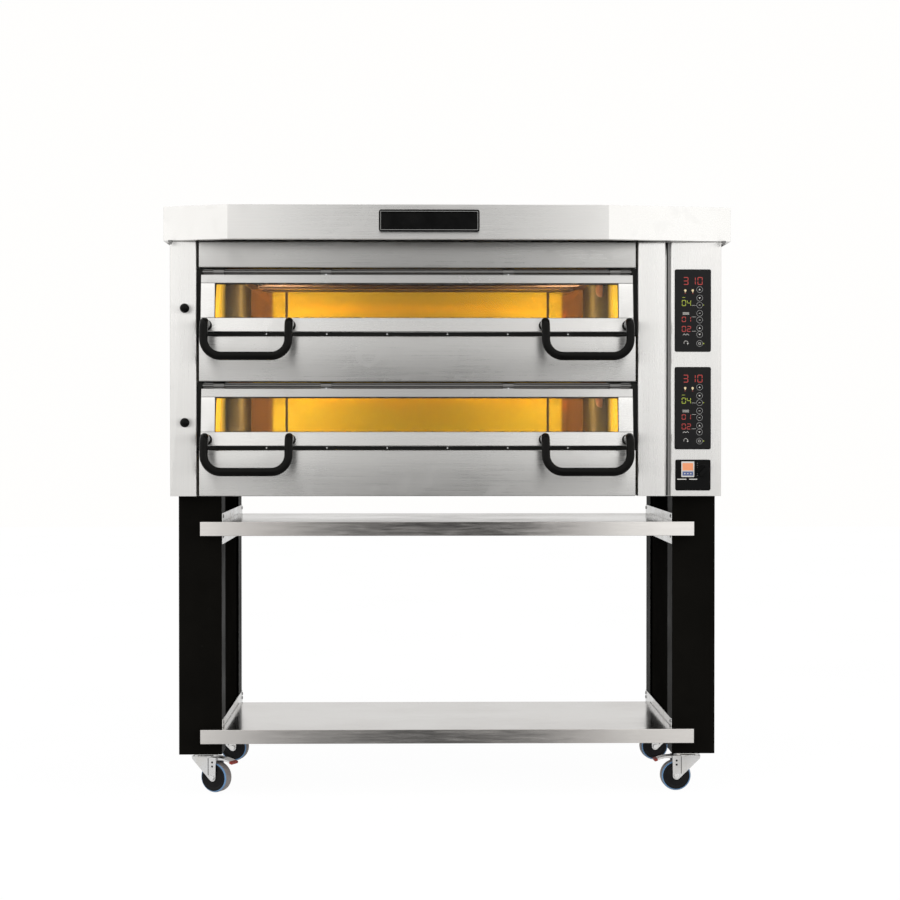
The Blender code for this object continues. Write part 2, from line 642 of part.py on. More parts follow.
def shelf(deck, top):
    lip_y = FRONT + SHELF_FRONT
    step_y = FRONT + LEG_FRONT - 0.002
    back_y = lip_y + SHELF_DEPTH
    half = LEG_INNER - SHEET - 2 * GAP - 0.0005
    outline = [
        (-SHELF_HALF_WIDTH, lip_y), (SHELF_HALF_WIDTH, lip_y), (SHELF_HALF_WIDTH, step_y),
        (half, step_y), (half, back_y), (-half, back_y), (-half, step_y), (-SHELF_HALF_WIDTH, step_y),
    ]
    made = prism(f"{deck}_shelf", outline, "Z", top - SHEET, top, POLISHED)
    fuse(made, box(f"{deck}_shelf_lip", (-SHELF_HALF_WIDTH, SHELF_HALF_WIDTH), (lip_y, lip_y + SHEET),
                   (top - SHELF_LIP, top), POLISHED))
    fuse(made, box(f"{deck}_shelf_rear_edge", (-half, half), (back_y - SHEET, back_y),
                   (top - 0.022, top), POLISHED))
    for side, name in ((-1, "left"), (1, "right")):
        x = sorted((side * SHELF_HALF_WIDTH, side * (SHELF_HALF_WIDTH - SHEET)))
        fuse(made, box(f"{deck}_shelf_{name}_end", x, (lip_y, step_y), (top - SHELF_LIP, top), POLISHED))


def shelf_frame(deck, top):
    """Two side rails on the legs' inner faces, which a rear bar joins under the shelf."""
    near = FRONT + LEG_FRONT + 0.006
    far = FRONT + LEG_FRONT + STAND_DEPTH - 0.006
    outer = LEG_INNER - GAP
    z = (top - RAIL_DROPS[deck], top + RAIL_RISE)
    ledge = (top - SHEET - GAP - SHEET, top - SHEET - GAP)
    bar_y = FRONT + SHELF_FRONT + SHELF_DEPTH
    frame = box(f"{deck}_shelf_frame", (-outer, outer), (bar_y + GAP, bar_y + GAP + SHEET),
                (top - 0.034, top - 0.002), ZINC)
    for side, name in ((-1, "left"), (1, "right")):
        x = sorted((side * outer, side * (outer - SHEET)))
        fuse(frame, box(f"{deck}_{name}_rail", x, (near, far), z, ZINC))
        x = sorted((side * (outer - SHEET / 2), side * (outer - 0.024)))
        fuse(frame, box(f"{deck}_{name}_ledge", x, (near + 0.002, bar_y - 0.004), ledge, ZINC))


# ---- Castors ----------------------------------------------------------------------------

def fork(name):
    """Two cheeks, a bridge, a bearing head and the axle, in the castor's own frame."""
    axle = (CASTOR_TRAIL, WHEEL_RADIUS)
    inner, outer = WHEEL_WIDTH / 2 + 0.0025, WHEEL_WIDTH / 2 + 0.005
    cheek = [(-0.034, FORK_TOP), (-0.033, FORK_TOP - 0.008)]
    cheek += arc(axle, 0.010, 222, 360, 7)
    cheek += [(axle[0] + 0.011, FORK_TOP)]
    made = box(name, (-0.034, axle[0] + 0.011), (-outer, outer), (FORK_TOP - 0.003, FORK_TOP), ZINC)
    for number, side in enumerate((-1, 1)):
        y = sorted((side * inner, side * outer))
        fuse(made, prism(f"{name}_cheek_{number}", cheek, "Y", y[0], y[1], ZINC))
    head = [(0, FORK_TOP - 0.001), (0.026, FORK_TOP - 0.001), (0.026, 0.096), (0.022, HEAD_TOP), (0, HEAD_TOP)]
    fuse(made, turned(f"{name}_head", head, "Z", ZINC, 24))
    pin = turned(f"{name}_pin", [(0, -0.024), (0.004, -0.024), (0.004, 0.024), (0, 0.024)], "Y", ZINC, 12)
    pin.location = (axle[0], 0, axle[1])
    fuse(made, pin)
    return made


def wheel(name):
    half, hub = WHEEL_WIDTH / 2, WHEEL_WIDTH / 2 + 0.0015
    profile = [
        (0.0048, -hub), (0.033, -hub), (0.0385, -half + 0.003), (WHEEL_RADIUS, -0.006),
        (WHEEL_RADIUS, 0.006), (0.0385, half - 0.003), (0.033, hub), (0.0048, hub),
    ]
    made = turned(name, profile, "Y", TYRE, 28, closed=True)
    made.location = (CASTOR_TRAIL, 0, WHEEL_RADIUS)
    return made


def brake_lever(name):
    """A curved pedal in front of the fork, above the tread."""
    start = CASTOR_TRAIL + 0.0115
    upper = [(start, 0.0935), (start + 0.016, 0.0925), (start + 0.032, 0.089), (start + 0.046, 0.083)]
    lower = [(start + 0.045, 0.079), (start + 0.031, 0.084), (start + 0.016, 0.087), (start, 0.0865)]
    return prism(name, upper + lower, "Y", -0.015, 0.015, LEVER_STEEL)


def castor(corner, angle):
    end, side = corner.split("_")
    x = CASTOR_X if side == "right" else -CASTOR_X
    y = FRONT + LEG_FRONT + (CASTOR_INSET if end == "front" else STAND_DEPTH - CASTOR_INSET)
    swivel = pivot(f"{corner}_swivel_axis", (x, y, 0), (0, 0, radians(angle)))
    carry(swivel, fork(f"{corner}_castor_fork"), wheel(f"{corner}_wheel"))
    if end == "front":
        carry(swivel, brake_lever(f"{corner}_brake_lever"))


# ---- Assembly ---------------------------------------------------------------------------

hood()
name_plate()
left_front_column()
mid_column()
control_box_cover()
fascias()
casing()
insulation()
for deck_name, door_bottom in DECKS.items():
    chamber(deck_name, door_bottom)
    hearth_stone(deck_name, door_bottom)
    top_element(deck_name, door_bottom)
    oven_lamp(deck_name, door_bottom)
    door(deck_name, door_bottom)
    damper_knob(deck_name, door_bottom)
    control_glass(deck_name, GLASS_BOTTOMS[deck_name])
    shelf(deck_name, SHELF_TOPS[deck_name])
    shelf_frame(deck_name, SHELF_TOPS[deck_name])
main_switch()
for side_name, side_sign in (("left", -1), ("right", 1)):
    leg(f"{side_name}_front_leg", side_sign, "front")
    leg(f"{side_name}_rear_leg", side_sign, "rear")
    side_infill(f"{side_name}_side_infill", side_sign)
for corner_name, castor_angle in CASTOR_ANGLES.items():
    castor(corner_name, castor_angle)
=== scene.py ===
"""The looks of a twin-deck pizza oven on its castor stand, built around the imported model.

Metres, +Z up. The oven's front faces -Y and its right-hand side, as one faces it, is at +X.
"""

import json
from math import cos, pi, radians, sin, tan

import bmesh
import bpy
from mathutils import Matrix, Vector

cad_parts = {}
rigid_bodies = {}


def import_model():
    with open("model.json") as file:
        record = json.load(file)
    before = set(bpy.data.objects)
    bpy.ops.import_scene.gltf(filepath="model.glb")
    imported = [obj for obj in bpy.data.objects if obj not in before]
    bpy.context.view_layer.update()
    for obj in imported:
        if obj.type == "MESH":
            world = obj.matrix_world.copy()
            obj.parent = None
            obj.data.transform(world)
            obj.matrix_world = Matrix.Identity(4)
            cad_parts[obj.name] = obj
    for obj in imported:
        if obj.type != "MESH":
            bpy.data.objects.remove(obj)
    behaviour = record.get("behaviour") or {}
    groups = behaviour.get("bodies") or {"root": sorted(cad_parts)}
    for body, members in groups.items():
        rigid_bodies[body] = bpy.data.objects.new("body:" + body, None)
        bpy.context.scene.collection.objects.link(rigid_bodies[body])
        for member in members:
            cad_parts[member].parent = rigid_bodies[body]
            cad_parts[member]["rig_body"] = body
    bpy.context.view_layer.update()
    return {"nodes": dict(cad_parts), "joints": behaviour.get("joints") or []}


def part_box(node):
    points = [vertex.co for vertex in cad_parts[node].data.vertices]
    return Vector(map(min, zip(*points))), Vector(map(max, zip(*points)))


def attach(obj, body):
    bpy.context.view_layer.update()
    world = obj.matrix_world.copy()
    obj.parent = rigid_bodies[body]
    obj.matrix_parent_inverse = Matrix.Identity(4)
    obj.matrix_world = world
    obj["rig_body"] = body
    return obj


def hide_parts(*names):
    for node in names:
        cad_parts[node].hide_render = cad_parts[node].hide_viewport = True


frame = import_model()

# ---- Places taken from the frame, and sizes shared with the CAD model ----

MM = 0.001
DECKS = ("lower", "upper")
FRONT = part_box("middle_fascia")[0].y
HINGES = {deck: sum(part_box(f"{deck}_hinge_rod"), Vector()) / 2 for deck in DECKS}
DOOR_BOXES = {deck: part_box(f"{deck}_door_frame") for deck in DECKS}
DOOR_LEFT, DOOR_RIGHT = DOOR_BOXES["lower"][0].x, DOOR_BOXES["lower"][1].x
DOOR_CENTRE = (DOOR_LEFT + DOOR_RIGHT) / 2
DOOR_TILT = radians(7.5)
DOOR_HEIGHT, HINGE_HEIGHT, RECESS_TOP = 0.149, 0.1575, 0.168
SILL_DROP = 0.0115
WINDOW_BOTTOM, WINDOW_TOP = 0.0355, 0.1255
WINDOW_LEFT, WINDOW_RIGHT = -0.6085, 0.448
DOOR_FACE, DOOR_INNER, GLASS_FRONT = 0.0088, -0.0092, 0.0014
REBATE = 0.008
KNUCKLE_OFFSETS = (-0.52, -0.239, 0.239, 0.52)
HANDLE_OFFSET, HANDLE_WIDTH, HANDLE_RADIUS, HANDLE_REACH = 0.44, 0.218, 0.011, 0.074
HANDLE_CORNER, STUB_CORNER, STUB_HEIGHT, HANDLE_DROP = 0.045, 0.022, 0.0155, 0.067
SHEET, GAP = 0.002, 0.0004
CASTOR_ANGLES = {"front_left": -27.0, "front_right": 183.0, "rear_left": -12.0, "rear_right": 188.0}
WHEEL_RADIUS, CASTOR_TRAIL = 0.04, 0.03


def bottom_of(deck):
    """Height of a door's bottom edge."""
    return HINGES[deck].z - HINGE_HEIGHT


# ---- Camera, world and lights ----

def in_scene(name, data):
    """A new object, linked to the scene."""
    made = bpy.data.objects.new(name, data)
    bpy.context.scene.collection.objects.link(made)
    return made


CAMERA_LENS, SENSOR_WIDTH = 79.4, 36.0
CAMERA_X, CAMERA_HEIGHT, CAMERA_DISTANCE = -0.079, 0.966, 5.2
CAMERA_DROP, CAMERA_TURN = 0.606, -0.938


def make_camera():
    data = bpy.data.cameras.new("camera")
    data.lens = CAMERA_LENS
    data.sensor_width = SENSOR_WIDTH
    data.clip_end = 60.0
    camera = in_scene("camera", data)
    camera.location = (CAMERA_X, FRONT - CAMERA_DISTANCE, CAMERA_HEIGHT)
    camera.rotation_euler = (radians(90 - CAMERA_DROP), 0, radians(CAMERA_TURN))
    bpy.context.scene.camera = camera


# Greys against a direction's component plus a half; the light is twice the grey.
SIDE_STOPS = (
    (0.0, 0.8), (0.3, 1.0), (0.39, 1.0), (0.42, 0.4), (0.46, 0.06), (0.5, 0.0),
    (0.568, 0.0), (0.592, 0.75), (0.61, 1.0), (1.0, 0.8))
CENTRE_STOPS = (
    (0.0, 0.12), (0.3, 0.07), (0.42, 0.02), (0.5, 0.02), (0.55, 0.07), (0.65, 0.32), (1.0, 0.62))
EDGE_STOPS = ((0.0, 0.4), (0.35, 0.56), (0.46, 0.7), (0.56, 0.98), (0.68, 1.0), (1.0, 0.85))
BACK_GREY = 0.42


def make_world():
    """A white studio that is dark straight in front of the oven, as a camera side is, and dimmer below it."""
    world = bpy.data.worlds.new("studio")
    bpy.context.scene.world = world
    world.use_nodes = True
    nodes = Nodes(world.node_tree)
    direction = nodes.node("ShaderNodeTexCoord", {}, "Generated")
    split = nodes.node("ShaderNodeSeparateXYZ", {0: direction}).node.outputs
    across = nodes.maths("ADD", split["X"], 0.5)
    height = nodes.maths("ADD", split["Z"], 0.5)
    behind = nodes.node("ShaderNodeMath", {0: split["Y"], 1: 2.5, 2: 0.2},
                        operation="MULTIPLY_ADD", use_clamp=True)
    centre, edge = nodes.ramp(height, CENTRE_STOPS), nodes.ramp(height, EDGE_STOPS)
    front = nodes.between(nodes.ramp(across, SIDE_STOPS), centre, edge)
    whole = nodes.maths("MULTIPLY", nodes.between(behind, front, BACK_GREY), 2.0)
    seen = nodes.node("ShaderNodeLightPath", {}, "Is Camera Ray")
    background = nodes.tree.nodes["Background"]
    nodes.fill(background, {"Color": (1.0, 0.995, 0.985), "Strength": nodes.between(seen, whole, 1.0)})


WARM_WHITE = (1, 0.99, 0.97)
GLOW_COLOUR, GLOW_WATTS, GLOW_SIZE = (1.0, 0.93, 0.74), 11.0, 0.03
GLOW_INSET, GLOW_DEPTH, GLOW_HEIGHT = 0.16, 0.45, 0.105


def add_light(name, kind, place, watts, colour, **settings):
    """A light that neither the camera nor a reflection shows."""
    data = bpy.data.lights.new(name, kind)
    data.energy = watts
    data.color = colour
    for key, value in settings.items():
        setattr(data, key, value)
    light = in_scene(name, data)
    light.location = place
    light.visible_camera = False
    light.visible_glossy = False
    return light


def add_softbox(name, place, aim_height, size, watts, colour=(1, 1, 1)):
    light = add_light(name, "AREA", place, watts, colour, shape="RECTANGLE", size=size[0], size_y=size[1])
    aim = Vector((0, 0, aim_height)) - Vector(place)
    light.rotation_euler = aim.to_track_quat("-Z", "Y").to_euler()


def make_lights():
    add_softbox("left_softbox", (-2.6, FRONT - 2.6, 1.6), 0.8, (1.2, 2.2), 34, WARM_WHITE)
    add_softbox("right_softbox", (2.8, FRONT - 2.2, 1.5), 0.8, (1.2, 2.2), 34, WARM_WHITE)
    add_softbox("top_softbox", (0.4, FRONT - 0.8, 3.4), 1.0, (2.6, 1.6), 40)
    for deck in DECKS:
        low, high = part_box(f"{deck}_chamber")
        for side, x in (("left", low.x + GLOW_INSET), ("right", high.x - GLOW_INSET)):
            place = (x, FRONT + GLOW_DEPTH, bottom_of(deck) + GLOW_HEIGHT)
            glow = add_light(
                f"{deck}_{side}_glow", "POINT", place, GLOW_WATTS, GLOW_COLOUR, shadow_soft_size=GLOW_SIZE)
            glow.visible_transmission = False


def make_floor():
    """A floor lit from within, on which hardly a shadow shows."""
    shader = Shader("lit_floor", {"Roughness": 0.9, "Specular IOR Level": 0.0, "Emission Strength": 1.0})
    shader.set_base((0.02, 0.02, 0.02))
    glow = shader.mix(shader.noise(1.5), (0.965, 0.965, 0.965), (0.985, 0.985, 0.985))
    shader.fill(shader.surface, {"Emission Color": glow})
    bm = bmesh.new()
    bmesh.ops.create_grid(bm, x_segments=8, y_segments=8, size=14.0)
    floor = shaped(bm, "studio_floor", shader.material)
    floor.visible_glossy = False


# ---- Materials ----

class Nodes:
    """A node tree with a short way to add to it."""

    def __init__(self, tree):
        self.tree = tree

    def fill(self, node, sockets):
        for name, value in sockets.items():
            socket = node.inputs[name]
            if isinstance(value, bpy.types.NodeSocket):
                self.tree.links.new(value, socket)
            elif isinstance(value, tuple) and socket.type == "RGBA":
                socket.default_value = (*value, 1.0)
            else:
                socket.default_value = value

    def node(self, kind, sockets, output=0, **settings):
        made = self.tree.nodes.new(kind)
        for name, value in settings.items():
            setattr(made, name, value)
        self.fill(made, sockets)
        return made.outputs[output]

    def maths(self, operation, first, second=0.0):
        return self.node("ShaderNodeMath", {0: first, 1: second}, operation=operation)

    def between(self, factor, first, second):
        """A number between two others."""
        return self.node("ShaderNodeMix", {0: factor, 2: first, 3: second}, data_type="FLOAT")

    def ramp(self, factor, stops):
        """A ramp of greys from (place, grey) pairs."""
        shade = self.node("ShaderNodeValToRGB", {0: factor})
        shade.node.color_ramp.interpolation = "B_SPLINE"
        elements = shade.node.color_ramp.elements
        while len(elements) < len(stops):
            elements.new(0.5)
        for element, (place, grey) in zip(elements, stops):
            element.position = place
            element.color = (grey, grey, grey, 1)
        return shade


class Shader(Nodes):
    """A Principled material."""

    def __init__(self, name, sockets):
        self.material = bpy.data.materials.new(name)
        self.material.use_nodes = True
        super().__init__(self.material.node_tree)
        self.surface = self.tree.nodes["Principled BSDF"]
        self.fill(self.surface, sockets)

    def place(self, scale=(1, 1, 1)):
        """Object coordinates, stretched."""
        source = self.node("ShaderNodeTexCoord", {}, "Object")
        return self.node("ShaderNodeMapping", {"Vector": source, "Scale": scale})

    def axis(self, name):
        return self.node("ShaderNodeSeparateXYZ", {0: self.place()}, name)

    def facing(self, name):
        """A component of the surface's direction in the piece's own axes."""
        return self.node("ShaderNodeSeparateXYZ", {0: self.node("ShaderNodeTexCoord", {}, "Normal")}, name)

    def noise(self, scale, detail=3.0, roughness=0.55, stretch=(1, 1, 1), distortion=0.0):
        return self.node("ShaderNodeTexNoise", {
            "Vector": self.place(stretch), "Scale": scale, "Detail": detail,
            "Roughness": roughness, "Distortion": distortion})

    def spots(self, scale):
        return self.node("ShaderNodeTexVoronoi", {"Vector": self.place(), "Scale": scale}, "Distance")

    def span(self, value, low, high, to_low=0.0, to_high=1.0):
        return self.node("ShaderNodeMapRange", {
            "Value": value, "From Min": low, "From Max": high, "To Min": to_low, "To Max": to_high})

    def mix(self, factor, first, second):
        """A colour between two others."""
        return self.node("ShaderNodeMix", {0: factor, 6: first, 7: second}, 2, data_type="RGBA")

    def set_base(self, colour):
        self.fill(self.surface, {"Base Color": colour})

    def set_roughness(self, value):
        self.fill(self.surface, {"Roughness": value})

    def bump(self, *layers):
        """Stacks (height, depth in metres) layers on the surface's normal."""
        normal = None
        for height, depth in layers:
            sockets = {"Height": height, "Distance": depth, "Strength": 1.0}
            if normal is not None:
                sockets["Normal"] = normal
            normal = self.node("ShaderNodeBump", sockets)
        self.fill(self.surface, {"Normal": normal})


def scaled(colour, factor):
    return tuple(factor * c for c in colour)


def stretched(along, coarse, fine):
    """Scales for a grain that runs along one axis."""
    return tuple(coarse if axis == along else fine for axis in "XYZ")


def brushed_steel(name, along, tone=0.62, roughness=0.29, anisotropy=0.97):
    """Satin stainless steel: fine grain along one axis, faint handling marks and wiping haze."""
    turn = 0.25 if along == "X" else 0.0
    shader = Shader(name, {"Metallic": 1.0, "Anisotropic": anisotropy, "Anisotropic Rotation": turn})
    grain = shader.noise(1.0, 5.0, 0.7, stretched(along, 5, 900))
    scratches = shader.noise(1.0, 2.0, 0.5, stretched(along, 2, 260))
    haze = shader.noise(2.6, 4.0, 0.6)
    marks = shader.noise(17.0, 3.0, 0.5, distortion=0.8)
    light, dark = scaled((1.03, 1.02, 1.0), tone), scaled((0.95, 0.945, 0.93), tone)
    base = shader.mix(shader.span(grain, 0.35, 0.65), dark, light)
    wiped = scaled((0.97, 0.95, 0.92), tone)
    shader.set_base(shader.mix(shader.span(haze, 0.35, 0.7, 0.0, 0.35), base, wiped))
    rough = shader.span(grain, 0.3, 0.7, roughness - 0.035, roughness + 0.045)
    rough = shader.maths("ADD", rough, shader.span(marks, 0.55, 0.75, 0.0, 0.05))
    shader.set_roughness(shader.maths("ADD", rough, shader.span(haze, 0.4, 0.7, -0.02, 0.03)))
    shader.bump((grain, 0.000012), (scratches, 0.00001))
    return shader.material


def bright_steel(name, tone=0.64, roughness=0.09):
    """Polished sheet with light scuffs from trays."""
    shader = Shader(name, {"Metallic": 1.0, "Anisotropic": 0.6, "Anisotropic Rotation": 0.25})
    scuffs = shader.noise(1.0, 4.0, 0.7, (9, 160, 160), 0.4)
    cloud = shader.noise(3.4, 4.0, 0.6)
    clean, worn = scaled((1, 0.975, 0.945), tone), scaled((0.94, 0.9, 0.865), tone)
    shader.set_base(shader.mix(shader.span(cloud, 0.3, 0.7), clean, worn))
    rough = shader.span(scuffs, 0.35, 0.7, roughness, roughness + 0.09)
    shader.set_roughness(shader.maths("ADD", rough, shader.span(cloud, 0.4, 0.7, 0.0, 0.05)))
    shader.bump((scuffs, 0.000008), (cloud, 0.00015))
    return shader.material


def zinc(name, tone, roughness):
    """Zinc plating: a fine spangle with a faint blue and yellow cast."""
    shader = Shader(name, {"Metallic": 1.0})
    spangle = shader.spots(420.0)
    cloud = shader.noise(14.0, 4.0, 0.6)
    bluish, grey = scaled((1, 1.01, 1.03), tone), scaled((0.86, 0.86, 0.86), tone)
    base = shader.mix(shader.span(spangle, 0.1, 0.7), bluish, grey)
    yellowish = scaled((0.85, 0.8, 0.7), tone)
    shader.set_base(shader.mix(shader.span(cloud, 0.45, 0.75, 0.0, 0.5), base, yellowish))
    shader.set_roughness(shader.span(cloud, 0.3, 0.7, roughness - 0.06, roughness + 0.1))
    shader.bump((spangle, 0.00001), (cloud, 0.00004))
    return shader.material


def chamber_steel():
    """Stainless steel tinted by heat: gold behind and dark at the sides and ceiling, with the back wall
    browned near its ends as a painted reflection of the dark side walls.

    The splayed jambs carry a faint painted glow, for the lamplight that many reflections would bring them.
    """
    shader = Shader("heat_tinted_steel", {"Metallic": 0.75, "Specular IOR Level": 0.2})
    cloud = shader.noise(5.0, 5.0, 0.6, (1, 1, 2.2), 0.3)
    fine = shader.noise(1.0, 4.0, 0.7, (4, 4, 420))
    patches = shader.span(cloud, 0.3, 0.7)
    gold = shader.mix(patches, (0.96, 0.6, 0.03), (0.86, 0.48, 0.022))
    side = shader.mix(patches, (0.016, 0.0105, 0.0032), (0.01, 0.0063, 0.0022))
    off_centre = shader.maths("ABSOLUTE", shader.maths("SUBTRACT", shader.axis("X"), DOOR_CENTRE))
    fronting = shader.maths("ABSOLUTE", shader.facing("Y"))
    # Painted reflection: the back wall is browned near its ends, where the dark side walls would show in it.
    corner = shader.maths("MULTIPLY", shader.span(off_centre, 0.431, 0.44), shader.span(fronting, 0.6, 0.9))
    gold = shader.mix(corner, gold, (0.3, 0.115, 0.022))
    turned = shader.maths("ABSOLUTE", shader.facing("X"))
    sideways = shader.span(turned, 0.955, 0.985)
    ceiling = shader.span(shader.facing("Z"), -0.6, -0.9)
    shader.set_base(shader.mix(ceiling, shader.mix(sideways, gold, side), (0.045, 0.02, 0.009)))
    dull = shader.maths("MAXIMUM", sideways, ceiling)
    # Painted glow on the splayed jambs, standing in for lamplight they would get by reflection.
    jamb_painted_glow = shader.maths("MULTIPLY", shader.span(turned, 0.8, 0.9), shader.maths("SUBTRACT", 1.0, sideways))
    shader.fill(shader.surface, {
        "Emission Color": (1.0, 0.58, 0.045), "Emission Strength": shader.maths("MULTIPLY", jamb_painted_glow, 0.8),
        "Metallic": shader.span(dull, 0.0, 1.0, 0.75, 0.0)})
    polish = shader.span(cloud, 0.3, 0.7, 0.07, 0.13)
    shader.set_roughness(shader.maths("ADD", polish, shader.maths("MULTIPLY", dull, 0.45)))
    shader.bump((fine, 0.000004), (cloud, 0.0002))
    return shader.material


def hearth_stone():
    """Pressed fireclay: sandy grains, open pores and toasted patches."""
    shader = Shader("fireclay", {"Specular IOR Level": 0.25})
    grains = shader.noise(900.0, 3.0, 0.6)
    patches = shader.noise(7.0, 5.0, 0.62, distortion=0.4)
    pores = shader.spots(260.0)
    base = shader.mix(shader.span(patches, 0.38, 0.68), (0.56, 0.44, 0.3), (0.3, 0.2, 0.12))
    base = shader.mix(shader.span(grains, 0.45, 0.7, 0.0, 0.5), base, (0.7, 0.6, 0.45))
    base = shader.mix(shader.span(pores, 0.12, 0.04), base, (0.1, 0.07, 0.05))
    shader.set_base(base)
    shader.set_roughness(shader.span(grains, 0.3, 0.7, 0.75, 0.95))
    shader.bump((grains, 0.0002), (shader.span(pores, 0.0, 0.2), 0.0005))
    return shader.material


def powder_coat(name, colour=(0.0024, 0.0022, 0.0018), roughness=0.45, gloss=0.012):
    """Baked powder: a fine orange peel, with dust haze and scattered rubs."""
    shader = Shader(name, {"Specular IOR Level": gloss})
    peel = shader.spots(700.0)
    haze = shader.noise(6.0, 5.0, 0.6)
    rubs = shader.noise(38.0, 5.0, 0.7, distortion=0.6)
    base = shader.mix(shader.span(haze, 0.4, 0.75, 0.0, 0.5), colour, scaled(colour, 1.9))
    base = shader.mix(shader.span(rubs, 0.68, 0.8, 0.0, 0.5), base, (0.022, 0.021, 0.019))
    shader.set_base(base)
    shader.set_roughness(shader.span(haze, 0.3, 0.7, roughness - 0.07, roughness + 0.1))
    shader.bump((peel, 0.00005), (haze, 0.0002))
    return shader.material


def moulded(name, colour, roughness=0.35, grain=900.0, depth=0.00003):
    """Moulded plastic with a fine eroded texture and light rubbing."""
    shader = Shader(name, {"Specular IOR Level": 0.07})
    texture = shader.noise(grain, 2.0, 0.6)
    wear = shader.noise(30.0, 4.0, 0.6)
    worn = tuple(c * 1.5 + 0.0003 for c in colour)
    shader.set_base(shader.mix(shader.span(wear, 0.45, 0.75, 0.0, 0.6), colour, worn))
    shader.set_roughness(shader.span(wear, 0.3, 0.7, roughness - 0.06, roughness + 0.09))
    shader.bump((texture, depth))
    return shader.material


def gloss_black():
    """Smoked control glass, with a faint film of finger marks."""
    shader = Shader("smoked_glass", {"Specular IOR Level": 0.1, "Coat Weight": 0.05, "Coat Roughness": 0.04})
    film = shader.noise(42.0, 4.0, 0.6, distortion=1.2)
    clean, marked = (0.0018, 0.0018, 0.002), (0.0045, 0.0042, 0.004)
    shader.set_base(shader.mix(shader.span(film, 0.5, 0.8), clean, marked))
    shader.set_roughness(shader.span(film, 0.45, 0.75, 0.06, 0.16))
    return shader.material


def clear_glass(name, tint):
    shader = Shader(name, {"Transmission Weight": 1.0, "IOR": 1.22, "Roughness": 0.0})
    streaks = shader.noise(3.0, 3.0, 0.6, (1, 1, 4))
    shader.set_base(shader.mix(shader.span(streaks, 0.3, 0.7), tint, scaled(tint, 0.975)))
    return shader.material


def rubber(name, colour, roughness=0.62):
    shader = Shader(name, {"Specular IOR Level": 0.3})
    dust = shader.noise(60.0, 5.0, 0.65)
    dusty = tuple(0.6 * c + 0.1 for c in colour)
    shader.set_base(shader.mix(shader.span(dust, 0.45, 0.72, 0.0, 0.7), colour, dusty))
    shader.set_roughness(shader.span(dust, 0.3, 0.7, roughness - 0.08, roughness + 0.15))
    shader.bump((shader.noise(1300.0, 2.0, 0.5), 0.00003), (dust, 0.00008))
    return shader.material


def glowing(name, colour, strength):
    """A printed or lit mark: flat ink with a little mottling, and its own light, which on a printed mark is a
    painted glow.
    """
    shader = Shader(name, {"Roughness": 0.45, "Emission Strength": strength})
    ink = shader.noise(700.0, 2.0, 0.5)
    tint = shader.mix(shader.span(ink, 0.3, 0.7), colour, scaled(colour, 0.9))
    shader.set_base(tint)
    shader.fill(shader.surface, {"Emission Color": tint})
    return shader.material


def element_steel():
    """Sheathed heating element: oxidised grey-brown with a matt scale."""
    shader = Shader("oxidised_sheath", {"Metallic": 0.25, "Specular IOR Level": 0.2})
    scale = shader.noise(180.0, 5.0, 0.65)
    shader.set_base(shader.mix(shader.span(scale, 0.35, 0.7), (0.022, 0.011, 0.006), (0.05, 0.026, 0.014)))
    shader.set_roughness(shader.span(scale, 0.3, 0.7, 0.45, 0.7))
    shader.bump((scale, 0.0001))
    return shader.material


def mineral_wool():
    shader = Shader("wool", {"Specular IOR Level": 0.1})
    fibres = shader.noise(1.0, 5.0, 0.7, (40, 500, 500), 2.0)
    shader.set_base(shader.mix(fibres, (0.42, 0.38, 0.24), (0.66, 0.62, 0.46)))
    shader.set_roughness(shader.span(fibres, 0.2, 0.8, 0.85, 1.0))
    shader.bump((fibres, 0.002))
    return shader.material


STEEL = brushed_steel("steel_brushed_across", "X")
# The hood's steel is a lighter copy of the casing steel. This is painted light, for the light from above that
# the fascias under the hood lack.
LIT_HOOD_STEEL = brushed_steel("hood_steel_painted_light", "X", 0.74)
# The doors' top rails take a darker copy of the steel. This is painted shade from the parts above them.
SHADED_RAIL_STEEL = brushed_steel("door_rail_steel_painted_shade", "X", 0.5, 0.22)
LIT_DOOR_STEEL = brushed_steel("door_steel_painted_light", "X", 0.68, 0.28)
# The door skins take a lighter copy of the casing steel. This is painted light.
STEEL_UP = brushed_steel("steel_brushed_upright", "Z")
STEEL_DEEP = brushed_steel("steel_brushed_in_depth", "Y")
SHELF_STEEL = bright_steel("shelf_steel")
HARDWARE = zinc("bright_zinc", 0.72, 0.24)
CASTOR_ZINC = zinc("castor_plate", 0.66, 0.3)
CHAMBER = chamber_steel()
STONE = hearth_stone()
ELEMENT = element_steel()
WOOL = mineral_wool()
LEG_COAT = powder_coat("black_powder")
INFILL_COAT = powder_coat("black_powder_flat", (0.004, 0.0038, 0.0034), 0.6, 0.0)
# Black powder for real black parts, and for sheets that paint the shade in gaps, slots and creases.
RECESS_BLACK = powder_coat("recess_black", (0.01, 0.01, 0.0095), 0.5)
# A dark copy of the brushed steel for the hinge pins and knuckles, the recess roofs, the hood's nuts, the
# rail screws and the column joint. This is painted shade for the gaps and undersides where they sit.
SHADED_STEEL = brushed_steel("recess_steel_painted_shade", "X", 0.2, 0.34, 0.5)
GRIP = moulded("handle_black", (0.0014, 0.0013, 0.0011), 0.2, 700.0, 0.00001)
PLASTIC = moulded("plastic_black", (0.0014, 0.0014, 0.0014), 0.18, 900.0, 0.00001)
SMOKED = gloss_black()
DOOR_GLASS = clear_glass("door_glass_clear", (0.97, 0.965, 0.95))
LAMP_GLASS = glowing("lamp_lens", (0.42, 0.17, 0.06), 0.25)
TYRE = rubber("tyre_blue", (0.085, 0.18, 0.32))
